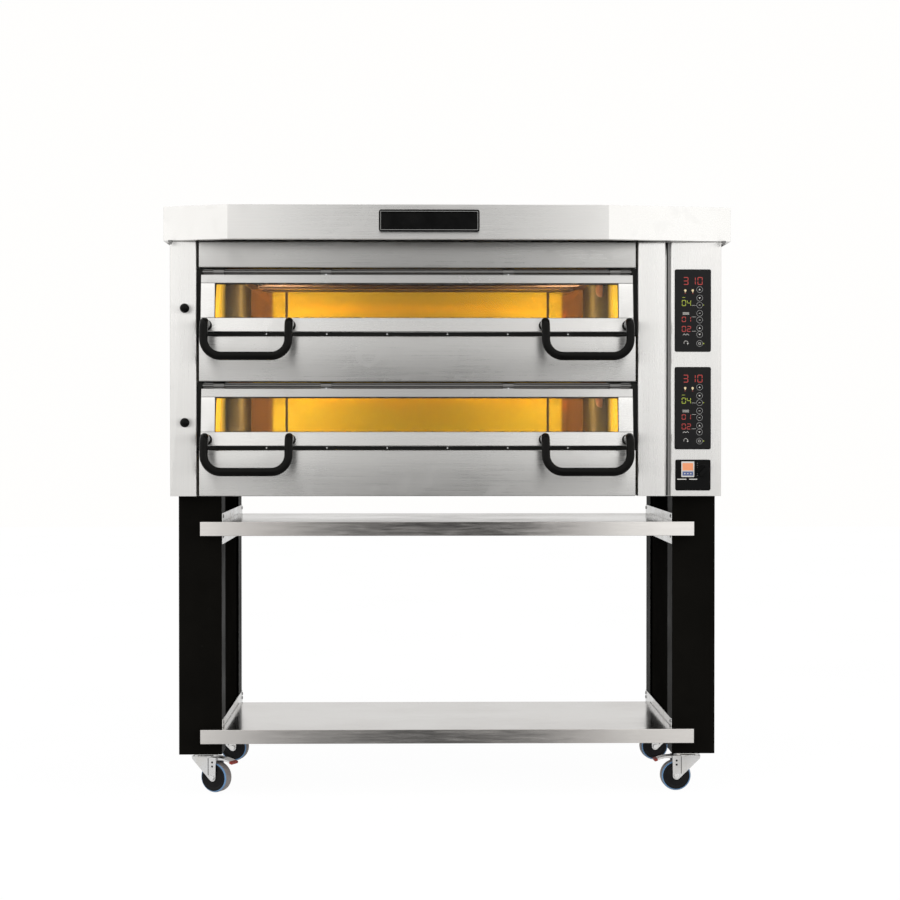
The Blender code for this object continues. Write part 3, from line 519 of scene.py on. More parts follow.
# A grey-brown tread beside the blue tyre.
TREAD = rubber("tread_grey_brown", (0.14, 0.125, 0.12))
HUB = moulded("hub_black", (0.006, 0.006, 0.0065), 0.38)
RED = moulded("lever_red", (0.17, 0.028, 0.022), 0.38)
GASKET = rubber("gasket_black", (0.012, 0.011, 0.01), 0.55)
LED_RED = glowing("led_red", (0.21, 0.015, 0.012), 0.28)
LED_GREEN = glowing("led_green", (0.17, 0.2, 0.015), 0.38)
# The inks glow faintly: a painted glow on printed marks.
INK_WHITE = glowing("ink_white", (0.38, 0.37, 0.35), 0.05)
INK_CREAM = glowing("ink_cream", (0.42, 0.34, 0.2), 0.2)
INK_GREY = glowing("ink_grey", (0.2, 0.2, 0.195), 0.05)
INK_ORANGE = glowing("ink_orange", (0.5, 0.19, 0.085), 0.06)
INK_BLUE = glowing("ink_blue", (0.045, 0.065, 0.16), 0.03)


# ---- Shape helpers ----

def placed(axis, across, up, along):
    """A point from an outline's two coordinates and its place along the extrusion's axis."""
    return Vector({"X": (along, across, up), "Y": (across, along, up), "Z": (across, up, along)}[axis])


def arc(centre, radius, start, end, steps):
    turns = [radians(start + (end - start) * i / steps) for i in range(steps + 1)]
    return [(centre[0] + radius * cos(a), centre[1] + radius * sin(a)) for a in turns]


def hexagon(centre, radius):
    return arc(centre, radius, 0, 300, 5)


def mirrored(half):
    """A profile of (radius, height) points, followed by its mirror image above height 0."""
    return half + [(radius, -height) for radius, height in reversed(half)]


def rectangle(left, bottom, right, top, radius=0.0, steps=4):
    if radius == 0:
        return [(left, bottom), (right, bottom), (right, top), (left, top)]
    return (
        arc((right - radius, bottom + radius), radius, -90, 0, steps)
        + arc((right - radius, top - radius), radius, 0, 90, steps)
        + arc((left + radius, top - radius), radius, 90, 180, steps)
        + arc((left + radius, bottom + radius), radius, 180, 270, steps)
    )


def filleted(points, radii, steps):
    """An open path with its inner corners rounded."""
    points = [Vector(p) for p in points]
    path = [points[0]]
    for before, corner, after, radius in zip(points, points[1:], points[2:], radii):
        back = (before - corner).normalized()
        ahead = (after - corner).normalized()
        half = back.angle(ahead) / 2
        centre = corner + (back + ahead).normalized() * (radius / sin(half))
        start = corner + back * (radius / tan(half)) - centre
        end = corner + ahead * (radius / tan(half)) - centre
        sweep = start.angle(end)
        for i in range(steps + 1):
            t = sweep * i / steps
            path.append(centre + (start * sin(sweep - t) + end * sin(t)) / sin(sweep))
    return path + [points[-1]]


# Fractions of a screw head's radius and height, from its rim over its crown into its socket.
SCREW_PROFILE = ((1, 0.0), (1, 0.45), (0.93, 0.72), (0.72, 0.92), (0.5, 1.0), (0.46, 0.98), (0.44, 0.35))
LEAST_RADIUS = 1e-5


class Piece:
    """One visible piece: shapes gathered in a mesh, then placed, finished and tied to its body."""

    def __init__(self, name):
        self.name = name
        self.bm = bmesh.new()

    def loft(self, rings, closed=False):
        """Joins rings of equal length, with caps unless the chain of rings is closed."""
        rings = [[self.bm.verts.new(p) for p in ring] for ring in rings]
        count = len(rings[0])
        pairs = list(zip(rings, rings[1:]))
        if closed:
            pairs.append((rings[-1], rings[0]))
        else:
            self.bm.faces.new(rings[0])
            self.bm.faces.new(list(reversed(rings[-1])))
        for low, high in pairs:
            for i in range(count):
                j = (i + 1) % count
                self.bm.faces.new((low[i], high[i], high[j], low[j]))
        return self

    def prism(self, outline, axis, start, end):
        return self.loft([[placed(axis, a, b, along) for a, b in outline] for along in (start, end)])

    def box(self, x, y, z):
        return self.prism(rectangle(x[0], y[0], x[1], y[1]), "Z", z[0], z[1])

    def turned(self, profile, axis, centre=(0, 0, 0), steps=48, closed=False):
        """A turned shape from (radius, height) points about an axis through the centre."""
        centre = Vector(centre)
        angles = [2 * pi * i / steps for i in range(steps)]
        rings = []
        for radius, height in profile:
            wide = max(radius, LEAST_RADIUS)
            rings.append([centre + placed(axis, wide * cos(a), wide * sin(a), height) for a in angles])
        return self.loft(rings, closed)

    def tube(self, path, radius, sides):
        """A round bar along a path, with closed ends."""
        path = [Vector(p) for p in path]
        rings = []
        side = None
        for i, point in enumerate(path):
            ahead = (path[min(i + 1, len(path) - 1)] - path[max(i - 1, 0)]).normalized()
            if side is None:
                side = ahead.orthogonal().normalized()
            side = (side - ahead * side.dot(ahead)).normalized()
            up = ahead.cross(side)
            turns = [2 * pi * k / sides for k in range(sides)]
            rings.append([point + (side * cos(a) + up * sin(a)) * radius for a in turns])
        return self.loft(rings)

    def screw(self, centre, axis, radius, height, sign=1.0, steps=20):
        """A domed screw head on a surface, with a socket."""
        profile = [(radius * r, sign * height * h) for r, h in SCREW_PROFILE]
        return self.turned(profile, axis, centre, steps)

    def finish(self, mat, body, slot, replaces=(), matrix=None, bevel=0.0, segments=2, angle=35):
        bmesh.ops.recalc_face_normals(self.bm, faces=self.bm.faces)
        made = shaped(self.bm, self.name, mat, angle, matrix)
        if bevel:
            soften(made, bevel, segments, angle)
        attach(made, body)
        if replaces:
            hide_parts(*replaces)


def shaped(bm, name, mat, angle=35, matrix=None):
    """An object with a bmesh's shape and one material."""
    mesh = bpy.data.meshes.new(name)
    bm.to_mesh(mesh)
    bm.free()
    if matrix is not None:
        mesh.transform(matrix)
    mesh.shade_smooth()
    mesh.set_sharp_from_angle(angle=radians(angle))
    mesh.materials.append(mat)
    return in_scene(name, mesh)


def soften(made, width, segments, angle):
    modifier = made.modifiers.new("edge", "BEVEL")
    modifier.width = width
    modifier.segments = segments
    modifier.limit_method = "ANGLE"
    modifier.angle_limit = radians(angle)
    modifier.harden_normals = True


def refined(node, mat, bevel, segments=2, angle=35):
    """A copy of a CAD node with its flat faces joined and its edges eased, which stands for the node."""
    source = frame["nodes"][node]
    bm = bmesh.new()
    bm.from_mesh(source.data)
    bmesh.ops.remove_doubles(bm, verts=bm.verts, dist=1e-5)
    bmesh.ops.dissolve_limit(bm, angle_limit=radians(0.5), verts=bm.verts, edges=bm.edges)
    made = shaped(bm, node + "_skin", mat, angle)
    soften(made, bevel, segments, angle)
    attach(made, source["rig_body"])
    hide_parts(node)


def finish_node(node, mat):
    """Gives a CAD node that keeps its own shape its material."""
    mesh = frame["nodes"][node].data
    mesh.materials.clear()
    mesh.materials.append(mat)


# ---- Casing ----

def make_casing():
    for node in ("top_fascia", "middle_fascia", "bottom_fascia"):
        refined(node, STEEL, 0.0005)
    for node in ("left_front_column", "mid_column", "control_box_cover"):
        refined(node, STEEL_UP, 0.0005)
    refined("hood_front", LIT_HOOD_STEEL, 0.0009, 3, 8)
    refined("hood_cover", STEEL, 0.0009, 3)
    for node in ("left_side_panel", "right_side_panel", "back_panel", "base_pan"):
        refined(node, STEEL_DEEP if "side" in node else STEEL, 0.0006)
    finish_node("insulation", WOOL)
    refined("name_plate", PLASTIC, 0.0012, 3)
    refined("cable_gland", PLASTIC, 0.0008)


CASING_SCREW, SILL_SCREW = (0.0042, 0.0024), (0.0021, 0.0013)
RAIL_SCREW, LEG_BOLT = (0.0046, 0.0022), (0.0062, 0.0042)
# Two strips, black and dark grey, that paint the shade in the joint between the middle column and the control
# box.
COLUMN_GAP_SHADE = (("dark", RECESS_BLACK, (0.5755, 0.579)), ("grey", SHADED_STEEL, (0.579, 0.5845)))
HOOD_NUT_INSET, HOOD_NUT_FORWARD = 0.021, 0.022
LOUVRE_CENTRES, LOUVRE_COUNT, LOUVRE_LOWEST, LOUVRE_PITCH = (-0.4, 0.3), 7, 1.285, 0.018


def add_screws(name, mat, places, size):
    """Screws of one (radius, height) at (centre, axis, sign) places."""
    heads = Piece(name)
    for centre, axis, sign in places:
        heads.screw(centre, axis, *size, sign, steps=18)
    heads.finish(mat, "root", "zinc_plate")


def make_casing_details():
    """Strips of painted shade in the column joint, screws, louvres and the hood's nuts, none of which are in
    the CAD model.
    """
    low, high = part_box("mid_column")
    # Strips in the joint beside the middle column: painted shade.
    for name, mat, x in COLUMN_GAP_SHADE:
        gap = Piece(f"column_gap_shade_{name}")
        gap.box(x, (FRONT + 0.0105, FRONT + 0.0122), (low.z + 0.001, high.z - 0.001))
        gap.finish(mat, "root", "brushed_steel")

    low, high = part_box("hood_cover")
    y = FRONT - HOOD_NUT_FORWARD
    for x, side in ((low.x + HOOD_NUT_INSET, "left"), (high.x - HOOD_NUT_INSET, "right")):
        nut = Piece(f"hood_{side}_nut")
        nut.prism(hexagon((x, y), 0.0062), "Z", low.z - 0.0052, low.z + 0.0006)
        nut.turned([(0.0034, low.z - 0.0105), (0.0034, low.z - 0.005)], "Z", (x, y, 0), 20)
        nut.finish(SHADED_STEEL, "root", "zinc_plate", bevel=0.0004)

    left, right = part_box("left_side_panel"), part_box("right_side_panel")
    sides = ((left[0].x, -1.0), (right[1].x, 1.0))
    places = [((x, y, z), "X", sign) for z in (left[0].z + 0.03, 1.0, 1.23, left[1].z - 0.03)
              for y in (-0.1, 0.19, 0.462) for x, sign in sides]
    add_screws("side_screws", HARDWARE, places, CASING_SCREW)

    low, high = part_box("back_panel")
    ends = (low.x + 0.02, high.x - 0.02)
    places = [((x, high.y, z), "Y", 1.0) for x in (ends[0], -0.36, 0.0, 0.36, ends[1])
              for z in (low.z + 0.02, high.z - 0.02)]
    places += [((x, high.y, z), "Y", 1.0) for x in ends for z in (1.01, 1.23)]
    add_screws("back_screws", HARDWARE, places, CASING_SCREW)
    make_louvres(high.y)

    low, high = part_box("cable_gland")
    middle = ((low.x + high.x) / 2, (low.z + high.z) / 2)
    nut = Piece("gland_nut")
    nut.prism(hexagon(middle, (high.x - low.x) * 0.56), "Y", high.y + 0.0006, high.y + 0.01)
    nut.finish(PLASTIC, "root", "black_plastic", bevel=0.001, segments=3)

    low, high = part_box("name_plate")
    rim = Piece("name_plate_line")
    face, inset, width = low.y, 0.0042, 0.0009
    x0, x1, z0, z1 = low.x + inset, high.x - inset, low.z + inset, high.z - inset
    upright = (z0 + width, z1 - width)
    for x, z in (((x0, x1), (z0, z0 + width)), ((x0, x1), (z1 - width, z1)),
                 ((x0, x0 + width), upright), ((x1 - width, x1), upright)):
        rim.box(x, (face - 0.00022, face + 0.0003), z)
    rim.finish(INK_GREY, "root", "black_plastic")


def make_louvres(back):
    """Two fields of pressed louvres, each over a black strip that paints the shade in its open slot."""
    louvres, slot_shade = Piece("back_louvres"), Piece("back_louvre_slot_shade")
    root, lip = back - 0.0003, back + 0.0055
    for centre in LOUVRE_CENTRES:
        for row in range(LOUVRE_COUNT):
            z = LOUVRE_LOWEST + LOUVRE_PITCH * row
            louvres.prism([(root, z), (lip, z - 0.0004), (lip, z + 0.0008), (root, z + 0.0105)],
                          "X", centre - 0.075, centre + 0.075)
            # A black strip under each louvre: painted shade in the slot.
            x = (centre - 0.072, centre + 0.072)
            slot_shade.box(x, (back - 0.0002, back + 0.0004), (z - 0.0036, z - 0.0006))
    louvres.finish(STEEL, "root", "brushed_steel", bevel=0.0008)
    slot_shade.finish(RECESS_BLACK, "root", "black_powder_coat")


RAIL_SCREW_DROPS = {"upper": (0.0085, 0.062), "lower": (0.008, 0.02)}
LEG_BOLT_DEPTHS = (-0.276, 0.224)


def make_stand_details():
    """Bolt heads through the shelf frames and the legs."""
    frames = {deck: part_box(f"{deck}_shelf_frame") for deck in DECKS}
    places = []
    for deck, drops in RAIL_SCREW_DROPS.items():
        low, high = frames[deck]
        for sign in (-1.0, 1.0):
            for y in (low.y + 0.012, high.y - 0.012):
                for drop in drops:
                    places.append(((sign * (high.x - SHEET), y, high.z - drop), "X", -sign))
    add_screws("rail_screws", SHADED_STEEL, places, RAIL_SCREW)
    outer = abs(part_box("left_front_leg")[0].x)
    places = []
    for low, high in frames.values():
        for sign in (-1.0, 1.0):
            for y in LEG_BOLT_DEPTHS:
                for z in (low.z + 0.02, high.z - 0.014):
                    places.append(((sign * outer, y, z), "X", sign))
    add_screws("leg_bolts", HARDWARE, places, LEG_BOLT)


def make_stand():
    for side in ("left", "right"):
        for end in ("front", "rear"):
            refined(f"{side}_{end}_leg", LEG_COAT, 0.0006)
        refined(f"{side}_side_infill", INFILL_COAT, 0.0008)
    for deck in DECKS:
        refined(f"{deck}_shelf", SHELF_STEEL, 0.0009, 3)
        refined(f"{deck}_shelf_frame", HARDWARE, 0.0006)


# ---- Doors ----

def door_matrix(deck):
    """From a door's own frame, on its hinge axis with -Y outwards and -Z down the door, to the oven's."""
    return Matrix.Translation((0, HINGES[deck].y, HINGES[deck].z)) @ Matrix.Rotation(-DOOR_TILT, 4, "X")


def below_hinge(height, outwards=DOOR_FACE):
    return (HINGE_HEIGHT + outwards * sin(DOOR_TILT) - height) / cos(DOOR_TILT)


def make_door(deck):
    body, matrix = f"{deck}_door", door_matrix(deck)
    top, low = -below_hinge(DOOR_HEIGHT), -below_hinge(0)
    window_top, window_low = -below_hinge(WINDOW_TOP), -below_hinge(WINDOW_BOTTOM)
    face, back, ledge = -DOOR_FACE, -DOOR_INNER, -GLASS_FRONT - GAP
    rail_low = window_top + 0.002
    rail = Piece(f"{deck}_door_top_rail")
    rail.prism([(face, rail_low), (ledge, rail_low), (ledge, window_top + REBATE),
                (back, window_top + REBATE), (back, top), (face, top)], "X", DOOR_LEFT, DOOR_RIGHT)
    rail.finish(SHADED_RAIL_STEEL, body, "brushed_steel", (), matrix, 0.0009, 3)

    skin = Piece(f"{deck}_door_skin")
    skin.prism([(face, low), (back, low), (back, window_low - REBATE), (ledge, window_low - REBATE),
                (ledge, window_low), (face, window_low)], "X", DOOR_LEFT, DOOR_RIGHT)
    joint = 0.0005
    for outer, inner, sign in ((DOOR_LEFT, WINDOW_LEFT, 1), (DOOR_RIGHT, WINDOW_RIGHT, -1)):
        outline = [(outer, face), (inner, face), (inner, ledge), (inner - sign * REBATE, ledge),
                   (inner - sign * REBATE, back), (outer, back)]
        skin.prism(outline, "Z", window_low + joint, rail_low - joint)
    skin.finish(LIT_DOOR_STEEL, body, "brushed_steel", (f"{deck}_door_frame",), matrix, 0.0009, 3)

    knuckles = Piece(f"{deck}_door_knuckles")
    outer, bore, half = 0.0075, 0.0048, 0.015
    profile = mirrored([(bore, -half), (outer - 0.001, -half), (outer, -half + 0.001)])
    for offset in KNUCKLE_OFFSETS:
        centre = DOOR_CENTRE + offset
        knuckles.turned(profile, "X", (centre, 0, 0), 28, closed=True)
        knuckles.box((centre - 0.014, centre + 0.014), (-0.003, 0.0072), (top - 0.0015, -0.0055))
    knuckles.finish(SHADED_STEEL, body, "hinge_steel", (), matrix)

    studs = Piece(f"{deck}_hinge_studs")
    for offset in KNUCKLE_OFFSETS[1:3]:
        studs.screw((DOOR_CENTRE + offset, -0.003, top + 0.0022), "Y", 0.0022, 0.0016, -1.0)
    studs.finish(HARDWARE, body, "hinge_steel", (), matrix)

    gasket = Piece(f"{deck}_window_gasket")
    seal, near, far = 0.0016, ledge, ledge - 0.0022
    left, right = WINDOW_LEFT + 0.0002, WINDOW_RIGHT - 0.0002
    low_z, high_z = window_low + 0.0002, window_top - 0.0002
    for z in ((low_z, low_z + seal), (high_z - 0.0008, rail_low - 0.0002)):
        gasket.box((left, right), (far, near), z)
    for x in ((left, left + seal), (right - seal, right)):
        gasket.box(x, (far, near), (low_z + seal, high_z - 0.0008))
    gasket.finish(GASKET, body, "black_plastic", (), matrix)

    for side, offset in (("left", -HANDLE_OFFSET), ("right", HANDLE_OFFSET)):
        make_handle(deck, side, DOOR_CENTRE + offset, body, matrix)
    refined(f"{deck}_door_glass", DOOR_GLASS, 0.0006)
    rod = Piece(f"{deck}_hinge_pin")
    low_end, high_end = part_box(f"{deck}_hinge_rod")
    half, radius = (high_end.x - low_end.x) / 2, (high_end.z - low_end.z) / 2
    centre = ((low_end.x + high_end.x) / 2, HINGES[deck].y, HINGES[deck].z)
    rod.turned(mirrored([(radius * 0.7, -half), (radius, -half + 0.001)]), "X", centre, 28)
    rod.finish(SHADED_STEEL, "root", "hinge_steel", (f"{deck}_hinge_rod",))


def make_handle(deck, side, centre, body, matrix):
    """A bent bar with a smooth black coat, on two collars."""
    node = f"{deck}_door_{side}_handle"
    reach = DOOR_FACE + HANDLE_REACH
    stub, bar = -below_hinge(STUB_HEIGHT), -below_hinge(-HANDLE_DROP, reach)
    near, left, right = -(DOOR_FACE + GAP), centre - HANDLE_WIDTH / 2, centre + HANDLE_WIDTH / 2
    corners = [(left, near, stub), (left, -reach, stub), (left, -reach, bar),
               (right, -reach, bar), (right, -reach, stub), (right, near, stub)]
    handle = Piece(node + "_bar")
    radii = (STUB_CORNER, HANDLE_CORNER, HANDLE_CORNER, STUB_CORNER)
    handle.tube(filleted(corners, radii, 14), HANDLE_RADIUS, 24)
    bore = HANDLE_RADIUS - 0.001
    collar = [(bore, near), (0.0138, near), (0.0141, near - 0.0015), (0.0135, near - 0.0035),
              (0.0118, near - 0.0048), (bore, near - 0.0048)]
    for x in (left, right):
        handle.turned(collar, "Y", (x, 0, stub), 32)
    handle.finish(GRIP, body, "black_handle", (node,), matrix)


# ---- Recesses round the doors ----

def make_recess(deck):
    """The black strips beside and below a door, with their screws and stops; the strips beside it paint the
    shade in its side gaps.
    """
    zb = bottom_of(deck)
    shade_and_sill = Piece(f"{deck}_gap_shade_and_sill")
    left_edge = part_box("left_front_column")[1].x
    right_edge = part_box("mid_column")[0].x
    # The strips beside the door paint the shade in its side gaps; the strip below it is a black sill.
    for x in ((left_edge + GAP, DOOR_LEFT + 0.0035), (DOOR_RIGHT - 0.0035, right_edge - GAP)):
        shade_and_sill.box(x, (FRONT + 0.01, FRONT + 0.016), (zb - SILL_DROP + 0.002, zb + RECESS_TOP - 0.002))
    sill = (zb - SILL_DROP + 0.0006, zb - 0.0012)
    full_width = (DOOR_LEFT - 0.002, DOOR_RIGHT + 0.002)
    shade_and_sill.box(full_width, (FRONT + 0.004, FRONT + 0.009), sill)
    shade_and_sill.finish(RECESS_BLACK, "root", "black_powder_coat", bevel=0.0006)

    # A dark steel plate at the back of the gap above the door; its darkness is painted shade.
    roof = Piece(f"{deck}_recess_roof")
    height = (zb + DOOR_HEIGHT + 0.001, zb + RECESS_TOP - 0.003)
    roof.box(full_width, (FRONT + 0.024, FRONT + 0.028), height)
    roof.finish(SHADED_STEEL, "root", "hinge_steel", bevel=0.0006)

    spacing, count = 0.158, 6
    across = [DOOR_CENTRE + (i - (count - 1) / 2) * spacing for i in range(count)]
    places = [((x, FRONT + 0.004, sum(sill) / 2), "Y", -1.0) for x in across]
    add_screws(f"{deck}_sill_screws", HARDWARE, places, SILL_SCREW)

    stops = Piece(f"{deck}_door_stops")
    for x, sign in ((DOOR_LEFT + 0.02, 1), (DOOR_RIGHT - 0.02, -1)):
        span = sorted((x, x + sign * 0.024))
        stops.box(span, (FRONT - 0.0035, FRONT + 0.004), (zb - 0.0085, zb - 0.0035))
    stops.finish(RECESS_BLACK, "root", "black_plastic", bevel=0.0012, segments=3)


def make_damper(deck):
    low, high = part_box(f"{deck}_damper_knob")
    centre_x, centre_z = (low.x + high.x) / 2, (low.z + high.z) / 2
    radius = (high.x - low.x) / 2
    knob = Piece(f"{deck}_damper_ball")
    middle = low.y + radius
    turns = [pi * (0.02 + 0.8 * i / 22) for i in range(23)]
    profile = [(radius * sin(a), middle - radius * cos(a)) for a in turns]
    neck, bore = 0.0065, 0.004
    profile += [(neck, FRONT - 0.0042), (neck, FRONT - 0.0012), (bore, FRONT - 0.0012), (bore, high.y)]
    knob.turned(profile, "Y", (centre_x, 0, centre_z), 40)
    knob.finish(PLASTIC, f"{deck}_damper", "black_plastic", (f"{deck}_damper_knob",))
    ring = Piece(f"{deck}_damper_bush")
    inner, outer, rear = 0.0056, 0.0098, FRONT + 0.001
    profile = [(inner, rear), (inner, FRONT - 0.0009), (outer - 0.0008, FRONT - 0.0009),
               (outer, FRONT - 0.0003), (outer, rear)]
    ring.turned(profile, "Y", (centre_x, 0, centre_z), 40, closed=True)
    ring.finish(PLASTIC, "root", "black_plastic")


# ---- Baking chambers ----

SEAM_OFFSET = 0.394


def make_chamber(deck):
    refined(f"{deck}_chamber", CHAMBER, 0.0006)
    refined(f"{deck}_hearth_stone", STONE, 0.0012, 3)
    refined(f"{deck}_top_element", ELEMENT, 0.0003, 1, 60)
    refined(f"{deck}_oven_lamp", LAMP_GLASS, 0.0008, 2)
    low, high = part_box(f"{deck}_chamber")
    zb = bottom_of(deck)
    centre, back = (low.x + high.x) / 2, high.y - SHEET
    seams = Piece(f"{deck}_back_seams")
    for x in (centre - SEAM_OFFSET, centre + SEAM_OFFSET):
        seams.box((x - 0.0035, x + 0.0035), (back - 0.0025, back - 0.0004), (zb + 0.004, zb + 0.164))
    seams.finish(ELEMENT, "root", "element_steel", bevel=0.0008)


# ---- Controls ----

SEGMENTS = {"0": "abcdef", "1": "bc", "2": "abged", "3": "abgcd", "4": "fgbc"}


class Print:
    """Thin marks on an upright face, placed in millimetres right of and down from its top left corner."""

    def __init__(self, name, node):
        low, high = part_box(node)
        self.left, self.top, self.face = low.x, high.z, low.y
        self.piece = Piece(name)
        self.depth, self.sunk = 0.00016, 0.0002

    def shape(self, outline):
        points = [(self.left + u * MM, self.top - v * MM) for u, v in outline]
        self.piece.prism(points, "Y", self.face - self.depth, self.face + self.sunk)
        return self

    def bar(self, left, top, right, bottom):
        return self.shape([(left, bottom), (right, bottom), (right, top), (left, top)])

    def ring(self, u, v, outer, inner):
        inner, outer = inner * MM, outer * MM
        profile = [(inner, self.sunk), (inner, -self.depth), (outer, -self.depth), (outer, self.sunk)]
        centre = (self.left + u * MM, self.face, self.top - v * MM)
        self.piece.turned(profile, "Y", centre, 32, closed=True)
        return self

    def disc(self, u, v, radius):
        return self.shape(arc((u, v), radius, 0, 345, 23))

    def stroke(self, points, width):
        """Straight bars along a path."""
        for start, end in zip(points, points[1:]):
            along = Vector(end) - Vector(start)
            side = Vector((-along.y, along.x)).normalized() * width / 2
            self.shape([Vector(start) - side, Vector(end) - side, Vector(end) + side, Vector(start) + side])
        return self

    def digits(self, text, lefts, top, width, height, stroke):
        """Seven-segment figures."""
        for sign, left in zip(text, lefts):
            right, middle, low = left + width, top + height / 2, top + height
            half, gap = stroke / 2, stroke * 0.12
            level = {"a": top + half, "g": middle, "d": low - half}
            upright = {"f": (left + half, top, middle), "b": (right - half, top, middle),
                       "e": (left + half, middle, low), "c": (right - half, middle, low)}
            for key in SEGMENTS[sign]:
                if key in level:
                    y, tip = level[key], stroke * 0.55
                    start, end = left + stroke, right - stroke
                    self.shape([(left + tip, y), (start, y - half), (end, y - half),
                                (right - tip, y), (end, y + half), (start, y + half)])
                else:
                    x, start, end = upright[key]
                    start, end = start + half * 0.6 + gap, end - half * 0.6 - gap
                    self.shape([(x, start), (x + half, start + half), (x + half, end - half),
                                (x, end), (x - half, end - half), (x - half, start + half)])
        return self

    def finish(self, mat):
        self.piece.finish(mat, "root", "black_glass")


# Millimetres on the control glasses.
KEY_CENTRE, KEY_ROWS = 65.1, (52.3, 74.6, 92.9, 114.3, 132.1, 153.0, 170.0, 193.6)
LAMP_CENTRES = (27.3, 46.9)
SMALL_FIGURES = (18.2, 31.5)


def make_control_glass(deck):
    node = f"{deck}_control_glass"
    refined(node, SMOKED, 0.0006, 3)
    red = Print(f"{deck}_red_figures", node)
    red.digits("310", (21.9, 41.2, 59.3), 19.6, 13.5, 20.4, 2.1)
    red.digits("01", SMALL_FIGURES, 123.5, 10.8, 13.8, 1.8)
    red.digits("02", SMALL_FIGURES, 147.8, 10.8, 15.2, 1.8)
    for u in LAMP_CENTRES:
        red.bar(u - 1.6, 61.7, u + 1.6, 62.7)
    red.finish(LED_RED)
    green = Print(f"{deck}_green_figures", node)
    green.digits("04", SMALL_FIGURES, 79.8, 10.8, 15.7, 1.7)
    green.bar(19.0, 72.3, 27.0, 73.6)
    green.disc(75.6, KEY_ROWS[2], 1.3)
    green.disc(75.6, KEY_ROWS[7], 1.6)
    green.finish(LED_GREEN)
    keys = Print(f"{deck}_key_rings", node)
    for v in KEY_ROWS:
        keys.ring(KEY_CENTRE, v, 8.2, 7.5)
    keys.finish(INK_GREY)
    make_key_marks(deck, node)
    lamps = Print(f"{deck}_lamp_marks", node)
    for u in LAMP_CENTRES:
        lamps.disc(u, 54.6, 3.0).bar(u - 1.2, 57.4, u + 1.2, 59.6)
    lamps.finish(INK_CREAM)


def make_key_marks(deck, node):
    """Up and down arrows, dashes and other plain signs in and beside the keys."""
    marks = Print(f"{deck}_key_marks", node)
    left, right = KEY_CENTRE - 2.7, KEY_CENTRE + 2.7
    for v in (KEY_ROWS[0], KEY_ROWS[5]):
        marks.shape([(left, v + 1.6), (KEY_CENTRE, v - 2.2), (right, v + 1.6)])
    for v in (KEY_ROWS[1], KEY_ROWS[6]):
        marks.shape([(left, v - 1.6), (right, v - 1.6), (KEY_CENTRE, v + 2.2)])
    for v in KEY_ROWS[2:5]:
        marks.bar(KEY_CENTRE - 2.3, v - 0.5, KEY_CENTRE + 2.3, v + 0.5)
    marks.ring(KEY_CENTRE, KEY_ROWS[7], 3.2, 2.4)
    for v in (93.7, 124.0, 161.4):
        marks.bar(44.5, v - 0.3, 55.5, v + 0.3)
    for v in (112.6, 115.0, 117.4):
        marks.bar(20.5, v - 0.45, 37.5, v + 0.45)
    marks.stroke([(21.0, 172.0), (25.0, 168.4), (29.0, 172.0), (33.0, 168.4), (37.0, 172.0)], 0.9)
    turn = arc((29.0, 192.0), 5.2, 150, 380, 14)
    marks.stroke(turn, 0.9)
    u, v = turn[-1]
    marks.shape([(u - 2.4, v - 0.8), (u + 2.4, v - 0.8), (u, v + 2.8)])
    marks.finish(INK_WHITE)


def make_switch():
    refined("switch_plate", PLASTIC, 0.0008, 3)
    card = Print("switch_card", "switch_plate")
    card.shape(rectangle(15.5, 4.2, 49.5, 45.0, 1.2))
    card.bar(4.5, 49.6, 28.8, 52.0).bar(36.0, 49.6, 57.0, 52.0)
    card.shape([(90.0, 26.2), (90.0, 29.8), (86.8, 28.0)])
    card.finish(INK_WHITE)
    for name, mat, top, bottom in (("panel", INK_ORANGE, 8.4, 27.8), ("band", INK_BLUE, 30.5, 41.5)):
        patch = Print(f"switch_card_{name}", "switch_plate")
        patch.depth = 0.0003
        patch.bar(18.5, top, 46.5, bottom)
        patch.finish(mat)
    dots = Print("switch_card_dots", "switch_plate")
    dots.depth = 0.00042
    for i in range(3):
        dots.disc(24.5 + 8.0 * i, 36.0, 1.7)
    for i in range(7):
        dots.disc(57.6, 9.0 + 5.4 * i, 0.55)
    dots.finish(INK_WHITE)
    refined("main_switch_knob", PLASTIC, 0.0009, 3, 30)


# ---- Castors ----

def castor_matrix(corner):
    joint = next(j for j in frame["joints"] if j["name"] == f"{corner}_swivel_turn")
    x, y, _ = joint["pos_m"]
    return Matrix.Translation((x, y, 0)) @ Matrix.Rotation(radians(CASTOR_ANGLES[corner]), 4, "Z")


TYRE_HALF, TYRE_INNER, TYRE_SHOULDER = 0.016, 0.035, 0.0388
PLATE_HALF, PLATE_BOLT = 0.032, 0.024
NUT_NEAR, NUT_FAR = 0.0212, 0.0262


